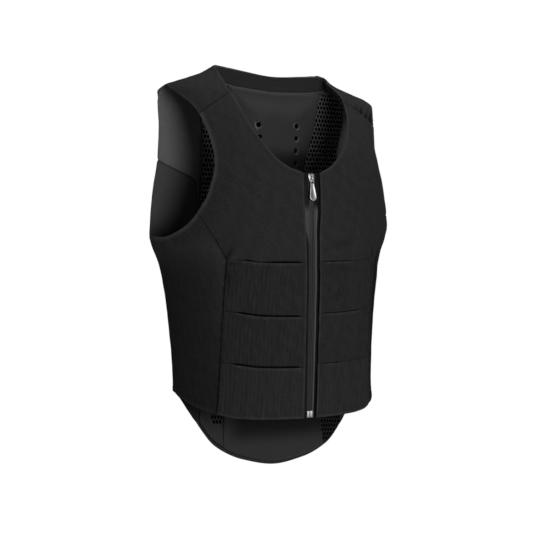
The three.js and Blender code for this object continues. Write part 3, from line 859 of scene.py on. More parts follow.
def woven(name, shades, pitch, rough):
    """Matte cloth with a fine two-way weave, a soft nap and slight wear."""
    finish = Finish(name, Sheen_Weight=0.02, Sheen_Roughness=0.45, Specular_IOR_Level=0.0)
    lay = finish.cloth_map()
    weft = finish.wave("X", pitch, lay, 0.4)
    warp = finish.wave("Y", pitch, lay, 0.4)
    weave = finish.mix("ADD", weft, warp)
    nap = finish.noise(NAP)
    colour = finish.toned(finish.shades(finish.noise(GRAIN, 6.0), *SHADES[shades]))
    roughness = finish.between(nap, rough - 0.08, rough + 0.08)
    first = finish.bump(weave, 0.00012, 0.6)
    return finish.finished(colour, roughness, finish.bump(nap, 0.0002, 0.5, first))


def ribbed():
    """Stretch cloth with fine upright ribs."""
    finish = Finish("stretch_cloth", Sheen_Weight=0.02, Sheen_Roughness=0.5, Specular_IOR_Level=0.0)
    lay = finish.cloth_map()
    ribs = finish.wave("X", RIB_PITCH * MM / 2, lay, 0.8)
    cross = finish.wave("Y", 0.0012, lay, 0.6)
    nap = finish.noise(STRETCH_NAP)
    knit = finish.mix("ADD", ribs, cross)
    colour = finish.toned(finish.shades(finish.noise(GRAIN, 6.0), *SHADES["stretch"]))
    roughness = finish.between(nap, 0.74, 0.9)
    first = finish.bump(knit, 0.00016, 0.6)
    return finish.finished(colour, roughness, finish.bump(nap, 0.0002, 0.4, first))


def foam():
    """Matte foam with a fine skin, lighter where it is rubbed, in a dark cloth sleeve at its tail."""
    finish = Finish("foam", Sheen_Weight=0.03, Sheen_Roughness=0.5, Specular_IOR_Level=0.08)
    lay = finish.place()
    grain = finish.noise(900.0, 4.0)
    blotch = finish.noise(22.0, 5.0)
    grey = finish.shades(blotch, *SHADES["foam"])
    height = finish.add("SeparateXYZ", {"Vector": lay}).outputs["Z"]
    sleeve = finish.between(height, 1.0, 0.0, *SLEEVE_TOP)
    colour = finish.add("Mix", {"Factor": sleeve, 6: grey, 7: SLEEVE_COLOUR}, data_type="RGBA")
    colour = finish.toned(colour.outputs[2])
    roughness = finish.between(grain, 0.66, 0.86)
    return finish.finished(colour, roughness, finish.bump(grain, 0.0003, 0.35))


def spacer():
    """Black knit, with painted shade deep in its cells."""
    finish = Finish("spacer_mesh", Sheen_Weight=0.03, Sheen_Roughness=0.5, Specular_IOR_Level=0.06)
    depth = finish.add("Attribute", attribute_name="depth").outputs["Fac"]
    fuzz = finish.noise(3200.0)
    lay = finish.place()
    knit = finish.wave("Z", 0.0008, lay, 2.0)
    colour = finish.shades(depth, *SHADES["spacer"], 0.1, 0.4)
    roughness = finish.between(fuzz, 0.7, 0.9)
    first = finish.bump(fuzz, 0.0002, 0.4)
    return finish.finished(colour, roughness, finish.bump(knit, 0.0002, 0.5, first))


def satin():
    """Smooth zip tape with fine lengthwise lines."""
    finish = Finish("satin_tape", Specular_IOR_Level=0.12)
    lay = finish.cloth_map()
    lines = finish.wave("X", 0.0016, lay, 0.3)
    twill = finish.wave("Y", 0.0009, lay, 1.0)
    colour = finish.toned(finish.shades(lines, *SHADES["satin"], 0.1, 0.9))
    roughness = finish.between(twill, 0.38, 0.5)
    first = finish.bump(lines, 0.0001, 0.5)
    return finish.finished(colour, roughness, finish.bump(twill, 0.0001, 0.5, first))


def chrome():
    """Bright plated metal with faint brushing and a few scuffs."""
    finish = Finish("chrome", Metallic=1.0)
    scuff = finish.noise(GRAIN, 6.0)
    colour = finish.shades(finish.noise(150.0), *SHADES["chrome"])
    roughness = finish.between(scuff, 0.34, 0.5)
    return finish.finished(colour, roughness, finish.bump(scuff, 0.00008, 0.3))


def thread():
    """Matte thread with a twist."""
    finish = Finish("thread", Sheen_Weight=0.03, Specular_IOR_Level=0.1)
    twist = finish.noise(5200.0)
    colour = finish.shades(twist, *SHADES["thread"])
    roughness = finish.between(twist, 0.5, 0.75)
    return finish.finished(colour, roughness, finish.bump(twist, 0.0001, 0.5))


SOFTSHELL = woven("softshell", "softshell", pitch=0.0009, rough=0.8)
FACING = woven("facing_cloth", "facing", pitch=0.0012, rough=0.84)
LINING = woven("lining_cloth", "lining", pitch=0.0011, rough=0.84)
STRETCH = ribbed()
FOAM = foam()
SPACER = spacer()
SATIN = satin()
CHROME = chrome()
THREAD = thread()

# Pieces

SIDES = {"left": 1, "right": -1}
# Rows of samples along the edges
ROWS = {
    "yoke": 6, "yoke_run": 14, "arm": 8, "seam_top": 4, "seam_band": 3, "diagonal": 4, "back_arm": 6,
    "neck": 4, "band": 5, "plate": 20, "facing": 20,
}
# Tone of the lining inside the chest and the shoulders, lower than on the back, whose lighter lining tone is
# painted light
LINING_TONE = 0.6


def opening(u, z, tier):
    """How far a band's slit gapes between the zip and the side seam, from 0 to 1."""
    share = share_to_seam(u, z)
    end = np.where(u < 0, *SLIT_ENDS[tier])
    gape = ease(share, 0.03, 0.11) * (1 - ease(share, end - 0.14, end))
    if tier == "upper":
        gape = gape * (1 - 0.7 * bell(share, 0.12, 0.58))
    return gape * np.where(u < 0, 1, LEFT_GAPE[tier])


def under_slit(u, z, tier):
    return slit_height(tier, share_to_seam(u, z), u) - z


def tucked(u, z, tier):
    """The inward turn of the cloth that goes behind a band's top edge."""
    below = under_slit(u, z, tier)
    gape = opening(u, z, tier)
    turn = ease(below / (0.7 + 0.9 * gape), -1.2, 0.4)
    return -(BAND_CLOTH + 0.15 + SLIT_LIFT * gape) * turn - 0.7 * gape * ease(below, -14, 0)


def slit_shade(u, z, tier):
    """Painted shade on the cloth that shows in the depth of a slit."""
    gape = opening(u, z, tier)
    return 1 - 0.95 * ease(under_slit(u, z, tier), -3.4 * gape - 0.3, -1.8 * gape) * ease(gape, 0.02, 0.3)


def chest(side, sign):
    band_top = slit_height("upper", 0, sign)
    neck = NECK.between(NECK_AT_YOKE_FRONT, NECK_AT_ZIP, ROWS["arm"])
    left = [
        (neck if sign > 0 else hung(neck), "turned"),
        (zip_edge(ZIP_TOP, band_top, ROWS["seam_top"]), "turned"),
        (zip_edge(band_top, band_top - BAND_TUCK, 1), "turned"),
    ]
    foot = slit("upper", ROWS["yoke"], sign, BAND_TUCK)
    seam_top = sum(BANDS["upper"])
    right = [
        (ARM.between(ARM_AT_YOKE_FRONT, ARM_AT_FRONT_SEAM, ROWS["arm"]), "arm"),
        (front_seam(ARM_AT_FRONT_SEAM[1], seam_top, ROWS["seam_top"]), "seam"),
        (front_seam(seam_top, seam_top - BAND_TUCK, 1), "seam"),
    ]
    top = [(straight(NECK_AT_YOKE_FRONT, ARM_AT_YOKE_FRONT, ROWS["yoke"]), "faint")]
    ground = Ground(top, [(foot, "tucked")], left, right, sign)
    return cloth(f"chest_{side}", ground, f"chest_panel_{side}", SOFTSHELL,
                 shape=lambda s, t, u, z: tucked(u, z, "upper"), shade=lambda u, z: slit_shade(u, z, "upper"),
                 cell=3.0, foot_rim=TUCK_RIM, inner_material=LINING, lining_tone=LINING_TONE)


def band(side, sign, tier):
    top_z, rise = BANDS[tier]
    below = TIERS[TIERS.index(tier) + 1] if tier != TIERS[-1] else None
    top = slit(tier, ROWS["yoke"], sign)
    if below:
        foot = slit(below, ROWS["yoke"], sign, BAND_TUCK)
        foot_style = "tucked"
    else:
        foot = HEM.between(HEM_AT_ZIP, HEM_AT_FRONT_SEAM, ROWS["yoke"])
        foot_style = "turned"
    left = zip_edge(top[0][1], foot[0][1], ROWS["band"])
    left[-1] = foot[0]
    right = front_seam(top_z + rise, foot[-1][1], ROWS["band"])
    ground = Ground([(top, "slit")], [(foot, foot_style)], [(left, "turned")], [(right, "seam")], sign)
    _, widths, _ = ground.sizes()
    ribs = round(widths.mean() / RIB_PITCH)

    def shape(s, t, u, z):
        under = under_slit(u, z, tier)
        lift = SLIT_LIFT * opening(u, z, tier) * np.exp(-np.maximum(under, 0) / 13)
        belly = 0.9 * np.sin(math.pi * s) * np.sin(math.pi * np.clip(t, 0, 1))
        rib = 0.22 * np.cos(2 * math.pi * ribs * s) + 0.25 * np.cos(2 * math.pi * ribs / 3 * s)
        tuck = tucked(u, z, below) if below else 0
        return lift + belly + rib * ease(under, 4.5, 7.5) + tuck

    def shade(u, z):
        hem = 1 - ease(under_slit(u, z, tier), 1.0, 5.5)
        # The lowest band is lighter by painted light, the hem under an open slit has a painted highlight, and
        # the tone differs at random in upright streaks
        tone = (1 if below else 1.12) + EDGE_LIGHT * hem * ease(opening(u, z, tier), 0, 0.5)
        tone = tone * (1 + 0.08 * ripple(body(u, z) * (1, 1, 0.12), 5.5, 17))
        return tone * slit_shade(u, z, below) if below else tone

    return cloth(f"band_{side}_{tier}", ground, f"stretch_band_{side}_{tier}", STRETCH,
                 shape=shape, shade=shade, thickness=BAND_CLOTH, cell=3.9, columns=4 * ribs, rim=BAND_RIM[:4],
                 top_rim=BAND_RIM, foot_rim=TUCK_RIM if below else BAND_RIM)


SEAM_LEVELS = [ARM_AT_FRONT_SEAM[1], *(top for top, _ in BANDS.values()), HEM_AT_FRONT_SEAM[1]]
SEAM_ROWS = [ROWS["seam_top"], ROWS["seam_band"], ROWS["seam_band"], ROWS["seam_band"]]
BACK_SEAM_BELOW = BACK_SEAM.between(BACK_SEAM_TURN, HEM_AT_BACK_SEAM, sum(SEAM_ROWS))
BACK_SEAM_DIAGONAL = BACK_SEAM.between(ARM_AT_BACK_SEAM, BACK_SEAM_TURN, ROWS["diagonal"])


def side_panel(side, sign):
    left = [
        (front_seam(top, bottom, rows), "seam")
        for top, bottom, rows in zip(SEAM_LEVELS, SEAM_LEVELS[1:], SEAM_ROWS)
    ]
    top = [
        (ARM.between(ARM_AT_FRONT_SEAM, ARM_AT_BACK_SEAM, ROWS["arm"]), "arm"),
        (BACK_SEAM_DIAGONAL, "seam"),
    ]
    bottom = [(HEM.between(HEM_AT_FRONT_SEAM, HEM_AT_BACK_SEAM, ROWS["arm"] + ROWS["diagonal"]), "turned")]
    ground = Ground(top, bottom, left, [(BACK_SEAM_BELOW, "faint")], sign)

    def shade(u, z):
        # Painted shade on the lower side; by the front seam a painted highlight on the wearer's right, and a
        # painted highlight then painted shade on the left
        behind = np.abs(u) - front_seam_girth(z)
        if sign < 0:
            seam_light_and_shade = 0.4 * np.exp(-behind / 0.1) * ease(z, -480, -300)
        else:
            seam_light_and_shade = 0.28 * bell(behind, 0.03) - 0.5 * bell(behind, 0.035, 0.075)
        tone = 0.66 + 0.34 * ease(z, -310, -258) + seam_light_and_shade * (1 - ease(z, -280, -240))
        return tone * (1 + 0.05 * ripple(body(u, z) * (1, 1, 0.15), 6, 16))

    # Its lining is darker than the back's, with painted shade lower down
    return cloth(f"side_{side}", ground, f"side_panel_{side}", SOFTSHELL, shade=shade,
                 inner_material=LINING, lining_tone=lambda z: 0.52 * (0.4 + 0.6 * ease(z, -262, -205)))


def yoke(side, sign):
    top = [(straight(NECK_AT_YOKE_FRONT, ARM_AT_YOKE_FRONT, ROWS["yoke"]), "faint")]
    bottom = [(straight(NECK_AT_YOKE_BACK, ARM_AT_YOKE_BACK, ROWS["yoke"]), "faint")]
    left = [(NECK.between(NECK_AT_YOKE_FRONT, NECK_AT_YOKE_BACK, ROWS["yoke_run"]), "turned")]
    right = [(ARM.between(ARM_AT_YOKE_FRONT, ARM_AT_YOKE_BACK, ROWS["yoke_run"]), "turned")]
    ground = Ground(top, bottom, left, right, sign)
    return cloth(f"yoke_{side}", ground, f"shoulder_yoke_{side}", SOFTSHELL, cell=3.0,
                 inner_material=LINING, lining_tone=LINING_TONE)


def back():
    left = [
        (ARM_BACK.between(ARM_AT_YOKE_BACK, ARM_AT_BACK_SEAM, ROWS["back_arm"]), "turned"),
        (BACK_SEAM_DIAGONAL, "seam"),
        (BACK_SEAM_BELOW, "faint"),
    ]
    yoke_seam = straight(ARM_AT_YOKE_BACK, NECK_AT_YOKE_BACK, ROWS["yoke"])
    neck = NECK.between(NECK_AT_YOKE_BACK, NECK_AT_BACK, ROWS["neck"])
    hem = HEM.between(HEM_AT_BACK_SEAM, HEM_AT_TAIL, ROWS["yoke"] + ROWS["neck"])
    top = [(yoke_seam, "faint"), (neck, "turned"), (mirrored(neck), "turned"), (mirrored(yoke_seam), "faint")]
    bottom = [(hem, "turned"), (mirrored(hem), "turned")]
    right = [(mirrored(points)[::-1], style) for points, style in left]
    # The back's lining keeps its lighter tone, which is painted light, and takes painted shade towards the
    # tail
    return cloth("back", Ground(top, bottom, left, right), "back_panel", SOFTSHELL, cell=4.8,
                 inner_material=LINING, lining_tone=lambda z: 0.27 + 0.73 * ease(z, -470, -330))


def facing():
    edge = FACING_EDGE.whole(ROWS["facing"])
    foot = FACING_FOOT.whole(ROWS["facing"])
    end = straight(edge[0], foot[0], 3)
    ground = Ground(
        [(edge, "turned"), (mirrored(edge), "turned")],
        [(foot, "turned"), (mirrored(foot), "turned")],
        [(end, "turned")],
        [(mirrored(end)[::-1], "turned")],
    )
    return cloth("facing", ground, "neck_facing", FACING, base=FACING_FACE,
                 thickness=FACING_THICKNESS, rim=RIM[:6])


def plate_edge(gap, rows):
    """The edge of the foam plate, or a line beside it, from the facing's foot to just above the hem."""
    z = levels(PLATE_TOP, PLATE_CORNER, rows)
    girth = back_girth(plate_half(z) + gap, z)
    top = foot_height(girth[0]) - PLATE_DROP
    foot = hem_height(girth[-1]) + HEM_INSET
    z = top + (z - PLATE_TOP) * (foot - top) / (PLATE_CORNER - PLATE_TOP)
    return paired(back_girth(plate_half(z) + gap, z), z)


def below_facing(start, end, rows):
    u = levels(start, end, rows)
    return paired(u, foot_height(u) - PLATE_DROP)


def above_hem(start, end, rows):
    u = levels(start, end, rows)
    return paired(u, hem_height(u) + HEM_INSET)


def plate():
    """The foam plate: rounded edges, and flared holes drilled through it."""
    left = plate_edge(0, ROWS["plate"])
    half_top = below_facing(left[0][0], 2, 4)
    half_foot = above_hem(left[-1][0], 2, 4)
    left[0] = half_top[0]
    left[-1] = half_foot[0]
    ground = Ground(
        [(half_top, "edge"), (mirrored(half_top), "edge")],
        [(half_foot, "edge"), (mirrored(half_foot), "edge")],
        [(left, "edge")],
        [(mirrored(left)[::-1], "edge")],
    )
    s, t = ground.grid(5.0)
    u, z = ground.at(s, t)
    points = body(u, z)
    away = ground.distance(points, "edge")
    # The edge thins out under the sleeve of the tail on the wearer's right
    thin = (1 - ease(z, -575, -530)) * ease(u, 2.0, 2.12)
    edge = PLATE_EDGE_THICKNESS - EDGE_THINNING * thin
    crown = edge + (PLATE_THICKNESS - edge) * ease(away, 0, PLATE_CROWN_REACH)
    thickness = crown - (edge - PLATE_FILLET) * rounding(away, PLATE_FILLET) + 0.25 * ripple(points, 40, 8)
    outer = off_body(u, z, LAYER_FACE + 0 * u)
    inner = off_body(u, z, LAYER_FACE - thickness)
    piece = wall("plate", outer, inner, paired(u * QUARTER_GIRTH, z))
    shade_plate(piece, drill_plate(piece))
    dress(piece, FOAM, ["back_plate"])
    return piece


def drill_plate(piece):
    """Cuts the holes with a flared drill, square to the plate's face, and gives their places and axes."""
    sides = 28
    surface = BVHTree.FromObject(piece, bpy.context.evaluated_depsgraph_get())
    turn = turns(sides)[:, None]
    verts = []
    faces = []
    holes = []
    for i in range(HOLE_COUNT):
        z = HOLE_TOP - HOLE_SAG - HOLE_PITCH * i
        for x, drift in HOLE_COLUMNS.items():
            start = Vector(((x + drift * min(i, DRIFTING_ROWS) + back_shift(z)) * MM, -0.1, z * MM))
            hit, normal, _, _ = surface.ray_cast(start, Vector((0, 1, 0)))
            if hit is None:
                continue
            place, axis = np.array(hit), np.array(normal)
            holes.append((place, axis))
            one = unit(np.cross(axis, (0, 0, 1)))
            ring = np.cos(turn) * one + np.sin(turn) * np.cross(axis, one)
            faces.extend(tube_faces(sides, len(HOLE_PROFILE), start=len(verts)))
            for along, radius in HOLE_PROFILE.items():
                verts.extend(place + axis * along * MM + ring * radius * MM)
    drill = add_mesh("drill", verts, faces)
    outward_faces(drill.data)
    cut = piece.modifiers.new("holes", "BOOLEAN")
    cut.object = drill
    cut.solver = "EXACT"
    apply_modifiers(piece)
    bpy.data.objects.remove(drill)
    piece.data.set_sharp_from_angle(angle=math.radians(32))
    return holes


# Painted tones of the plate: painted shade deep in the vest and under the front hem, near-black painted shade
# in its holes, and a painted highlight on its flares, stronger on the side that catches the light
INSIDE_SHADE = 0.72
HOLE_SHADE = 0.04
FLARE_INNER = 4.3
FLARE_OUTER = 6.0
FLARE_HIGHLIGHT = 3.0
FLARE_LIGHT = 1.3
# Direction from a hole to the part of its flare that catches the light
LIT_FLARE = (-0.7, 0, -0.7)


def shade_plate(piece, holes):
    """Painted tones of the plate: a painted highlight on its flares, and painted shade in its holes and from
    below the neck opening down to under the front hem.
    """
    places = np.empty(len(piece.data.vertices) * 3)
    piece.data.vertices.foreach_get("co", places)
    places = places.reshape(-1, 3)
    z = places[:, 2] / MM
    dark = 1 - ease(z, -126, -100) - (1 - ease(z, -583, -549))
    dark = dark * np.maximum(ease(places[:, 0] / MM, -95, -55), ease(z, -480, -420))
    tone = 1 - INSIDE_SHADE * dark
    for place, axis in holes:
        away = places - place
        radius = np.linalg.norm(away - (away @ axis)[:, None] * axis, axis=1) / MM
        toward_light = (away @ LIT_FLARE) / np.maximum(np.linalg.norm(away, axis=1), 1e-9)
        flare = (radius < FLARE_OUTER) & (radius > FLARE_INNER)
        tone[flare] *= FLARE_HIGHLIGHT + FLARE_LIGHT * toward_light[flare]
        tone[radius < HOLE_CORE + 0.3] = HOLE_SHADE
    mark(piece.data, "tone", tone)


# Width and pitch of the knit's hexagonal cells, their rows and columns, and the corners of one
CELL = (5.8, 7.2)
CELL_ROWS = range(-4, 88)
CELL_COLUMNS = range(3, 31)
CELL_CORNERS = [(0, 2 / 3), (-0.5, 1 / 3), (-0.5, -1 / 3), (0, -2 / 3), (0.5, -1 / 3), (0.5, 1 / 3)]
# Depth of the rings of a cell, by their scale
CELL_RINGS = {1.0: 0.1, 0.92: 0.0, 0.85: 0.25, 0.79: MESH_DEPTH * 0.5, 0.73: MESH_DEPTH}
MESH_WALL = 0.5
# Girth where the knit's width is measured, and the lowest height there
MESH_MIDDLE = 1.7
MESH_LOWEST = -620
# Offset of the knit from the cloth, and its shadows: below the neck, in the tail by side, under the sleeve
MESH_OFFSET = 0.6
NECK_SHADOW = 0.07
TAIL_SHADOWS = {1: 0.26, -1: 0.21}
SLEEVE_SHADOW = 0.33
# Where the tail's sleeve laps over the cells: all of them, or only those away from the plate
LAP_HEIGHT = -547
LAP_TOP = -500
LAP_REACH = 20


def spacer_mesh(side, sign):
    """A knit of upright hexagonal cells beside the plate."""
    width, pitch = CELL
    inner_edge = plate_edge(PLATE_MESH_GAP, ROWS["plate"])
    outer_edge = MESH_SIDE.whole(ROWS["plate"])
    if sign > 0:
        outer_edge[:, 0] -= 0.02 * ease(outer_edge[:, 1], -220, -120)
    else:
        inner_edge[:, 0] += 0.002 * (1 - ease(inner_edge[:, 1], -560, -530))
    heights = np.linspace(MESH_LOWEST, PLATE_TOP, 60)
    round_body, _ = slopes_on_body(np.full_like(heights, MESH_MIDDLE), heights)
    per_girth = smooth(heights, np.linalg.norm(round_body, axis=1))
    inner_girth = smooth(inner_edge[::-1, 1], inner_edge[::-1, 0])
    outer_girth = smooth(outer_edge[::-1, 1], outer_edge[::-1, 0])
    rim = np.array(CELL_CORNERS) * CELL
    sides = len(rim)
    places = {}
    faces = []
    points = []
    depths = []
    covers = []

    def point(a, z, depth, lapped, key=None):
        if key is not None and key in places:
            return places[key]
        points.append((a, z))
        depths.append(0.0 if lapped else depth)
        covers.append(lapped)
        if key is not None:
            places[key] = len(points) - 1
        return len(points) - 1

    for row in CELL_ROWS:
        for column in CELL_COLUMNS:
            a = (column + 0.5 * (row % 2)) * width
            z = PLATE_TOP - row * pitch
            level = np.clip(z, -612, PLATE_TOP)
            near = (2 - inner_girth(level)) * per_girth(level)
            far = (2 - outer_girth(level)) * per_girth(level)
            if not near - 0.45 * width < a < far + 0.45 * width:
                continue
            girth = 2 - a / per_girth(level)
            low = hem_height(girth) + HEM_INSET
            high = foot_height(girth) - PLATE_DROP
            if not low - 0.5 * pitch < z < high + 0.5 * pitch:
                continue
            # On the wearer's right the tail's sleeve laps over the lower cells
            lapped = sign < 0 and (z < LAP_HEIGHT or (z < LAP_TOP and a > near + LAP_REACH))
            loops = []
            for scale, depth in CELL_RINGS.items():
                loop = []
                for x, y in rim:
                    place = (a + x * scale, z + y * scale)
                    key = (round(place[0], 2), round(place[1], 2)) if scale == 1.0 else None
                    loop.append(point(*place, depth, lapped, key))
                loops.append(loop)
            for one, other in zip(loops, loops[1:]):
                for k in range(sides):
                    n = (k + 1) % sides
                    faces.append((one[k], one[n], other[n], other[k]))
            centre = point(a, z, MESH_DEPTH + 0.1, lapped)
            faces.extend((loops[-1][k], loops[-1][(k + 1) % sides], centre) for k in range(sides))
    flat = np.array(points)
    z = flat[:, 1]
    u = np.clip(2 - flat[:, 0] / per_girth(z), outer_girth(z), inner_girth(z))
    z = np.clip(z, hem_height(u) + HEM_INSET, foot_height(u) - PLATE_DROP)
    u = np.clip(2 - flat[:, 0] / per_girth(z), outer_girth(z), inner_girth(z))
    depths = np.array(depths)
    shown = off_body(u * sign, z, LAYER_FACE - MESH_OFFSET - MESH_DEPTH + depths)
    piece = add_mesh(f"mesh_{side}", (shown * MM).tolist(), faces)
    shadow = NECK_SHADOW * (1 - ease(z, -135, -100)) + TAIL_SHADOWS[sign] * (1 - ease(z, -520, -480))
    shadow = np.where(covers, SLEEVE_SHADOW, shadow)
    mark(piece.data, "depth", np.clip(depths / MESH_DEPTH + shadow, 0, 1))
    piece.data.shade_smooth()
    outward_faces(piece.data, smallest_edge=1e-6)
    shell = piece.modifiers.new("shell", "SOLIDIFY")
    shell.thickness = MESH_WALL * MM
    shell.offset = 0
    apply_modifiers(piece)
    dress(piece, SPACER, [f"spacer_mesh_{side}"])
    return piece


def zip_tape(side, sign):
    """A satin tape with the rolled edge that hides its teeth."""
    across = np.concatenate([
        [ZIP_HALF_GAP, 0.3, 0.6, 1.0, CORD_MIDDLE, 2.0, 2.4, 2.7, 2.85, 3.0, 3.2, 3.5],
        np.arange(4, 14.6, 0.4),
        [16, 18, TAPE_HALF_WIDTH],
    ])
    z = np.linspace(ZIP_TOP, ZIP_BOTTOM, TAPE_ROWS)
    x, height = np.meshgrid(across, z)
    u = front_girth(x, height) * sign
    points = body(u, height)
    # A round cord by the middle, then a satin strip that rises to its outer edge, then the gap by the panel
    strip_end = front_edge(height) - (4.6 if sign > 0 else 4.8 - 4.0 * ease(height, -262, -236))
    beside_puller = ease(height, -212, -196) * ease(x, 3.0, 4.5)
    cord = 0.6 * np.sqrt(np.clip(1 - ((x - CORD_MIDDLE) / 1.35) ** 2, 0, 1))
    tooth = 0.07 * np.cos(2 * math.pi * height / TOOTH_PITCH) * ease(cord, 0.1, 0.6)
    strip = ease(x, 2.8, 3.4) * (1 - ease(x, strip_end - 0.3, strip_end + 0.5))
    rise = strip * (0.3 + 1.5 * ease(x, 2.6, strip_end)) * (1 - beside_puller)
    offset = LAYER_FACE + 0.1 + cord + tooth + rise + 0.2 * ripple(points, 60, 9)
    inner = off_body(u, height, LAYER_FACE - TAPE_THICKNESS + 0 * u)
    piece = wall(f"tape_{side}", off_body(u, height, offset), inner, paired(x, height))
    # Painted shade in the grooves beside the cord and in the gap by the panel; on the wearer's left a painted
    # highlight towards the strip's outer edge; on the right the strip is darker lower down, with a faint
    # line; beside the puller the tape is near-black
    groove = bell(x, 0.35, CORD_EDGE) + 0.8 * bell(x, 0.35)
    tone = (0.02 + 0.98 * np.maximum(strip, 0.8 * ease(cord, 0, 0.3))) * (1 - 0.85 * np.clip(groove, 0, 1))
    if sign > 0:
        tone = tone * (0.85 + 0.65 * ease(x, strip_end - 2.4, strip_end - 1.0))
    else:
        tone = tone * (0.76 + 0.4 * ease(height, -270, -230)) * (1 - 0.4 * bell(x, 0.35, 4.9))
    tint(piece, tone * (1 - 0.97 * beside_puller), np.ones_like(tone))
    dress(piece, SATIN, [f"zip_tape_{side}"])
    return piece


def zip_frame(z):
    """Matrix from (across, up, outward) on the tapes, in millimetres, to the scene."""
    normal = outward(np.array(0.0), np.array(float(z)))
    place = off_body(np.array(0.0), np.array(float(z)), LAYER_FACE)
    columns = [(1, 0, 0), (0, normal[2], -normal[1]), tuple(normal)]
    rotation = Matrix(columns).transposed().to_4x4()
    return Matrix.Translation(Vector(place * MM)) @ rotation @ Matrix.Scale(MM, 4)


def lofted(rings, frame_matrix, capped=True):
    """Points and faces of a closed mesh through rings of (across, up, outward) points."""
    verts = [frame_matrix @ Vector(point) for ring in rings for point in ring]
    return verts, tube_faces(len(rings[0]), len(rings), capped=capped)


def metal_object(name, parts):
    """Joins closed parts into one solid."""
    made = []
    for i, (verts, faces) in enumerate(parts):
        made.append(add_mesh(name if i == 0 else f"{name}_{i}", verts, faces))
        outward_faces(made[-1].data)
    first, *others = made
    for other in others:
        union = first.modifiers.new("join", "BOOLEAN")
        union.operation = "UNION"
        union.object = other
        union.solver = "EXACT"
    apply_modifiers(first)
    for other in others:
        bpy.data.objects.remove(other)
    first.data.shade_smooth()
    first.data.set_sharp_from_angle(angle=math.radians(40))
    return first


def loop_tangents(points):
    return unit(np.roll(points, -1, axis=0) - np.roll(points, 1, axis=0))


def inset_outline(outline, distance):
    """A smooth closed outline drawn in by a distance."""
    points = np.array(outline, float)
    along = loop_tangents(points)
    return points + paired(-along[:, 1], along[:, 0]) * distance


def cushioned(outline, low, high, edge, dish=0.0, rim=0.0):
    """Rings of a plate with rounded edges and, on its outer face, a dished middle."""
    rings = []
    for distance, up in ((edge, low), (edge * 0.3, low + edge * 0.3), (0, low + edge), (0, high - edge),
                         (edge * 0.3, high - edge * 0.3), (edge, high)):
        rings.append([(x, y, up) for x, y in inset_outline(outline, distance)])
    if dish:
        rings.append([(x, y, high) for x, y in inset_outline(outline, rim)])
        rings.append([(x, y, high - dish) for x, y in inset_outline(outline, rim + dish * 1.2)])
    return rings


def tube_loop(path, radius, sides=10, closed=True):
    """Rings of a round bar along (across, up, outward) points."""
    points = np.array(path, float)
    along = loop_tangents(points) if closed else unit(np.gradient(points, axis=0))
    turn = turns(sides)[:, None]
    rings = []
    for point, tangent in zip(points, along):
        one = np.array((1.0, 0, 0)) if abs(tangent[0]) < 0.9 and not closed else np.array((0, 0, 1.0))
        one = unit(one - tangent * (one @ tangent))
        other = np.cross(tangent, one)
        rings.append(point + radius * (np.cos(turn) * one + np.sin(turn) * other))
    return rings


def round_box(left, right, low, high, corner, count):
    """Outline of a box with rounded corners, each of that many points."""
    centres = [
        (right - corner, high - corner), (left + corner, high - corner),
        (left + corner, low + corner), (right - corner, low + corner),
    ]
    outline = []
    for quarter, (x, y) in enumerate(centres):
        for angle in np.radians(np.linspace(90 * quarter, 90 * quarter + 90, count)):
            outline.append((x + corner * math.cos(angle), y + corner * math.sin(angle)))
    return outline


# The puller's pivot over the slider's place, and the half width of its paddle by height under the pivot
PIVOT_OUT = 3.35
PIVOT_UP = -1.5
PULLER_LENGTH = 34
PADDLE_TOP = -7.4
PADDLE_HALF_WIDTHS = {
    -PULLER_LENGTH: 0.6, -33.2: 2.7, -31: 4.9, -28.2: 5.6, -22: 4.9, -14: 3.7, -9: 3.0, PADDLE_TOP: 2.7,
}
# Half outline of the slider, from its foot to the middle of its top, and the run of its bail
SLIDER_HALF = [(3.3, -6), (3.9, -4.2), (4.7, 0.5), (5.1, 2.6), (4.9, 4.6), (3.8, 5.9), (1.9, 5.6), (0.0, 4.6)]
BAIL = [
    (0, -3.5, 1.7), (0, -3.5, 3.6), (0, -3.2, 4.6), (0, -2.3, 5.1), (0, 0.2, 5.2), (0, 2.5, 5.1),
    (0, 3.4, 4.6), (0, 3.7, 3.6), (0, 3.7, 1.7),
]
METAL_CORNER = 1.2
# The end box's two halves and the bar behind them: left, right, half height, low and high
END_BOX_PARTS = [(-5.0, -0.35, 5.0, 0.3, 2.5), (0.35, 5.0, 5.0, 0.3, 2.7), (-4.4, 4.4, 4.4, 0.4, 2.0)]


def slider():
    place = zip_frame(SLIDER_HEIGHT)
    knots = np.array(SLIDER_HALF)
    reach = reaches(knots)
    at = np.linspace(0, reach[-1], 26)
    right = paired(smooth(reach, knots[:, 0])(at), smooth(reach, knots[:, 1])(at))
    outline = np.concatenate([right, (right * (-1, 1))[::-1][1:]])
    body_rings = cushioned(outline, 0.3, 2.3, 0.5)
    bail = [[(x * 1.7, y, out) for x, y, out in ring] for ring in tube_loop(BAIL, 0.62, 12, closed=False)]
    piece = metal_object("slider", [lofted(body_rings, place), lofted(bail, place)])
    return dress(piece, CHROME, ["zip_slider"])


def puller():
    place = zip_frame(SLIDER_HEIGHT) @ Matrix.Translation((0, PIVOT_UP, PIVOT_OUT))
    tip = -PULLER_LENGTH + 0.05 + 3.5 * np.linspace(0, 1, 10) ** 2
    up = np.concatenate([tip, np.linspace(-29.8, PADDLE_TOP, 26)])
    right = paired(curve(PADDLE_HALF_WIDTHS)(up), up)
    outline = np.concatenate([right, (right * (-1, 1))[::-1]])
    paddle = cushioned(outline, -0.7, 0.7, 0.35, dish=0.4, rim=1.25)
    ring = [(x, y, 0) for x, y in round_box(-2.6, 2.6, -8, 0, METAL_CORNER, 7)]
    eye = lofted(tube_loop(ring, 0.7, 12), place, capped=False)
    piece = metal_object("puller", [lofted(paddle, place), eye])
    return dress(piece, CHROME, ["zip_puller"], "puller")


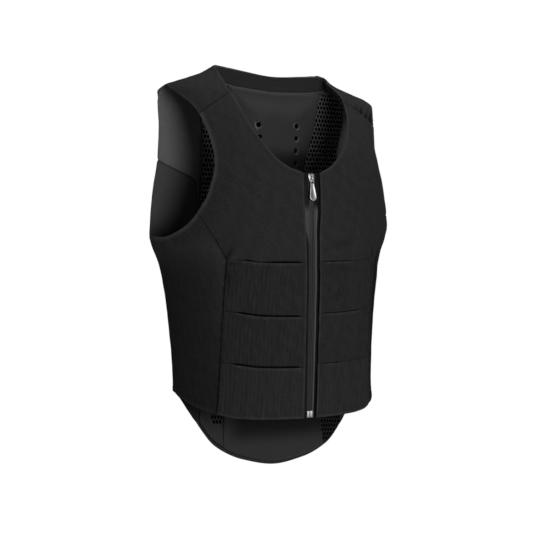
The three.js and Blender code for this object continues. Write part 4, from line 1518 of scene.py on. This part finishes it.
def end_box():
    place = zip_frame(END_BOX_HEIGHT)
    parts = []
    for left, right, tall, low, high in END_BOX_PARTS:
        outline = round_box(left, right, -tall, tall, METAL_CORNER, 6)
        parts.append(lofted(cushioned(outline, low, high, 0.4), place))
    piece = metal_object("end_box", parts)
    return dress(piece, CHROME, ["zip_end_box"])


# Stitching, laid on the finished cloth

STITCH_LENGTH = 2.3
STITCH_PITCH = 3.1
STITCH_RADIUS = 0.28
STITCH_SIDES = 6
STITCH_LIFT = 0.06
# How far from the cloth the search for a stitch's seat starts, and how far it goes
SEARCH_START = 14
SEARCH_REACH = 30
# Radius along a stitch, as shares of its length and of its full radius
STITCH_PROFILE = {-0.5: 0.4, -0.36: 1, 0.36: 1, 0.5: 0.4}


def surface_of(pieces):
    verts = []
    faces = []
    for piece in pieces:
        start = len(verts)
        verts.extend(v.co.copy() for v in piece.data.vertices)
        faces.extend([start + i for i in polygon.vertices] for polygon in piece.data.polygons)
    return BVHTree.FromPolygons(verts, faces)


def beside(edge, distance):
    """A line on the body that runs at a distance beside another; positive lies to the right of its run."""
    u, z = edge[:, 0], edge[:, 1]
    points = body(u, z)
    along = unit(np.gradient(points, axis=0))
    round_body, rising = slopes_on_body(u, z)
    away = np.cross(along, outward(u, z)) * distance
    uu = (round_body * round_body).sum(axis=1)
    uz = (round_body * rising).sum(axis=1)
    zz = (rising * rising).sum(axis=1)
    du = (away * round_body).sum(axis=1)
    dz = (away * rising).sum(axis=1)
    whole = uu * zz - uz * uz
    return paired(u + (du * zz - dz * uz) / whole, z + (dz * uu - du * uz) / whole)


def stitches(name, lines, surface, inside=False):
    """One piece of thread: a row of stitches along each line."""
    shape = np.array([
        (x * STITCH_LENGTH, STITCH_RADIUS * r * math.cos(a), STITCH_RADIUS * r * 0.8 * math.sin(a))
        for x, r in STITCH_PROFILE.items() for a in turns(STITCH_SIDES)
    ])
    toward = -1 if inside else 1
    points = []
    faces = []
    for edge in lines:
        u, z = edge[:, 0], edge[:, 1]
        reach = reaches(body(u, z))
        at = np.arange(STITCH_PITCH / 2, reach[-1] - STITCH_PITCH / 2, STITCH_PITCH)
        girth = np.interp(at, reach, u)
        height = np.interp(at, reach, z)
        centres = body(girth, height)
        normals = outward(girth, height)
        tangents = unit(np.gradient(centres, axis=0))
        for centre, normal, tangent in zip(centres, normals, tangents):
            start = Vector((centre + normal * SEARCH_START * toward) * MM)
            hit, face_normal, _, _ = surface.ray_cast(start, Vector(-normal * toward), SEARCH_REACH * MM)
            if hit is None:
                continue
            up = np.array(face_normal) * (1 if np.dot(face_normal, normal) * toward > 0 else -1)
            run = unit(tangent - up * (tangent @ up))
            over = np.cross(up, run)
            seat = np.array(hit) / MM + up * STITCH_LIFT
            faces.extend(tube_faces(STITCH_SIDES, len(STITCH_PROFILE), start=len(points)))
            points.extend(seat + shape[:, :1] * run + shape[:, 1:2] * over + shape[:, 2:] * up)
    piece = add_mesh(name, (np.array(points) * MM).tolist(), faces)
    piece.data.shade_smooth()
    outward_faces(piece.data)
    return dress(piece, THREAD)


def other_side(edge):
    return edge * (-1, 1)


def build():
    outer = []
    for side, sign in SIDES.items():
        outer.append(chest(side, sign))
        outer.extend(band(side, sign, tier) for tier in TIERS)
        outer.append(side_panel(side, sign))
        outer.append(yoke(side, sign))
        spacer_mesh(side, sign)
        zip_tape(side, sign)
    outer.append(back())
    inner_band = facing()
    plate()
    slider()
    puller()
    end_box()
    surface = surface_of(outer)
    neck = NECK.between(NECK_AT_ZIP, NECK_AT_BACK, 40)
    hem = HEM.between(HEM_AT_ZIP, HEM_AT_TAIL, 40)
    arm = ARM.between(ARM_AT_YOKE_BACK, ARM_AT_BACK_SEAM, 30)
    arm_back = ARM_BACK.whole(6)
    zip_run = zip_edge(ZIP_TOP - 8, ZIP_BOTTOM + 8, 20)
    left_lines = {
        "hem": [beside(hem, -HEM_STITCH)],
        "arm": [beside(arm, HEM_STITCH), beside(arm_back, -HEM_STITCH)],
        "zip": [beside(zip_run, -ZIP_STITCH)],
        "seams": [
            beside(front_seam(ARM_AT_FRONT_SEAM[1] - 3, HEM_AT_FRONT_SEAM[1] + 3, 20), -SEAM_STITCH),
            beside(straight(NECK_AT_YOKE_FRONT, ARM_AT_YOKE_FRONT, 8), -SEAM_STITCH),
            beside(straight(NECK_AT_YOKE_BACK, ARM_AT_YOKE_BACK, 8), SEAM_STITCH),
            beside(BACK_SEAM.between(ARM_AT_BACK_SEAM, HEM_AT_BACK_SEAM, 24), SEAM_STITCH),
        ],
    }
    for name, lines in left_lines.items():
        both = lines + [other_side(edge) for edge in lines]
        stitches(f"stitches_{name}", both, surface)
    right_neck = other_side(beside(hung(neck), HEM_STITCH))
    stitches("stitches_neck", [beside(neck, HEM_STITCH), right_neck], surface)
    left_bands = [beside(slit(tier, 8, 1), BAND_STITCH)[6:-8] for tier in TIERS]
    right_bands = [other_side(beside(slit(tier, 8, -1), BAND_STITCH)[6:-8]) for tier in TIERS]
    stitches("stitches_bands", left_bands + right_bands, surface)
    foot = beside(FACING_FOOT.whole(30), -FACING_STITCH)
    stitches("stitches_facing", [foot, other_side(foot)], surface_of([inner_band]), inside=True)


build()


# Camera, light and surroundings

EYE_HEIGHT = -0.245
EYE_DISTANCE = 2.1
AZIMUTH = math.radians(-28)
AIM = (-0.0064, 0.0034, -0.2954)
LENS = 88.65
FLOOR_HEIGHT = -1.45
FLOOR_RADIUS = 2.7
FLOOR_SIDES = 96
ROOM_LIGHT = 0.04
REFLECTED_LIGHT = 0.24
# Round lights: place, target, size and power
LIGHTS = {
    "key": ((-0.05, -1.9, -0.16), (0, 0, -0.28), 0.9, 20),
    "top": ((0.1, 0.0, 1.7), (0, 0, -0.1), 1.2, 25),
    "rim": ((-1.5, 0.9, -0.25), (-0.15, 0, -0.35), 1.0, 5.5),
    "back": ((0.8, 1.8, 0.1), (0.05, 0, -0.3), 1.2, 20),
}


def aimed(thing, place, target):
    """Sets a camera or light at its place, facing its target."""
    thing.location = place
    thing.rotation_euler = (Vector(target) - Vector(place)).to_track_quat("-Z", "Y").to_euler()


def add_camera():
    data = bpy.data.cameras.new("camera")
    data.lens = LENS
    data.sensor_width = 36
    camera = add_object("camera", data)
    aimed(camera, (EYE_DISTANCE * math.sin(AZIMUTH), -EYE_DISTANCE * math.cos(AZIMUTH), EYE_HEIGHT), AIM)
    bpy.context.scene.camera = camera


def add_area(name, place, target, size, power):
    data = bpy.data.lights.new(name, "AREA")
    data.shape = "DISK"
    data.size = size
    data.energy = power
    aimed(add_object(name, data), place, target)


def add_surroundings():
    world = bpy.data.worlds.new("studio")
    world.use_nodes = True
    tree = world.node_tree
    white = tree.nodes["Background"]
    white.inputs["Color"].default_value = (1, 1, 1, 1)
    light_path = tree.nodes.new("ShaderNodeLightPath")
    below = white.outputs["Background"]
    for ray, strength in (("Is Glossy Ray", REFLECTED_LIGHT), ("Is Diffuse Ray", ROOM_LIGHT)):
        room = tree.nodes.new("ShaderNodeBackground")
        room.inputs["Color"].default_value = (1, 1, 1, 1)
        room.inputs["Strength"].default_value = strength
        choice = tree.nodes.new("ShaderNodeMixShader")
        tree.links.new(light_path.outputs[ray], choice.inputs["Fac"])
        tree.links.new(below, choice.inputs[1])
        tree.links.new(room.outputs["Background"], choice.inputs[2])
        below = choice.outputs["Shader"]
    tree.links.new(below, tree.nodes["World Output"].inputs["Surface"])
    bpy.context.scene.world = world
    bpy.context.scene.view_settings.view_transform = "Standard"
    turn = turns(FLOOR_SIDES)
    verts = [(FLOOR_RADIUS * math.cos(a), FLOOR_RADIUS * math.sin(a), FLOOR_HEIGHT) for a in turn]
    floor = add_mesh("floor", verts, [tuple(range(FLOOR_SIDES))])
    pale = Finish("pale_floor", Roughness=0.9)
    pale.tree.links.new(pale.shades(pale.noise(4.0), *SHADES["floor"]), pale.shader.inputs["Base Color"])
    floor.data.materials.append(pale.material)


add_camera()
add_surroundings()
for light_name, light_setting in LIGHTS.items():
    add_area(light_name, *light_setting)
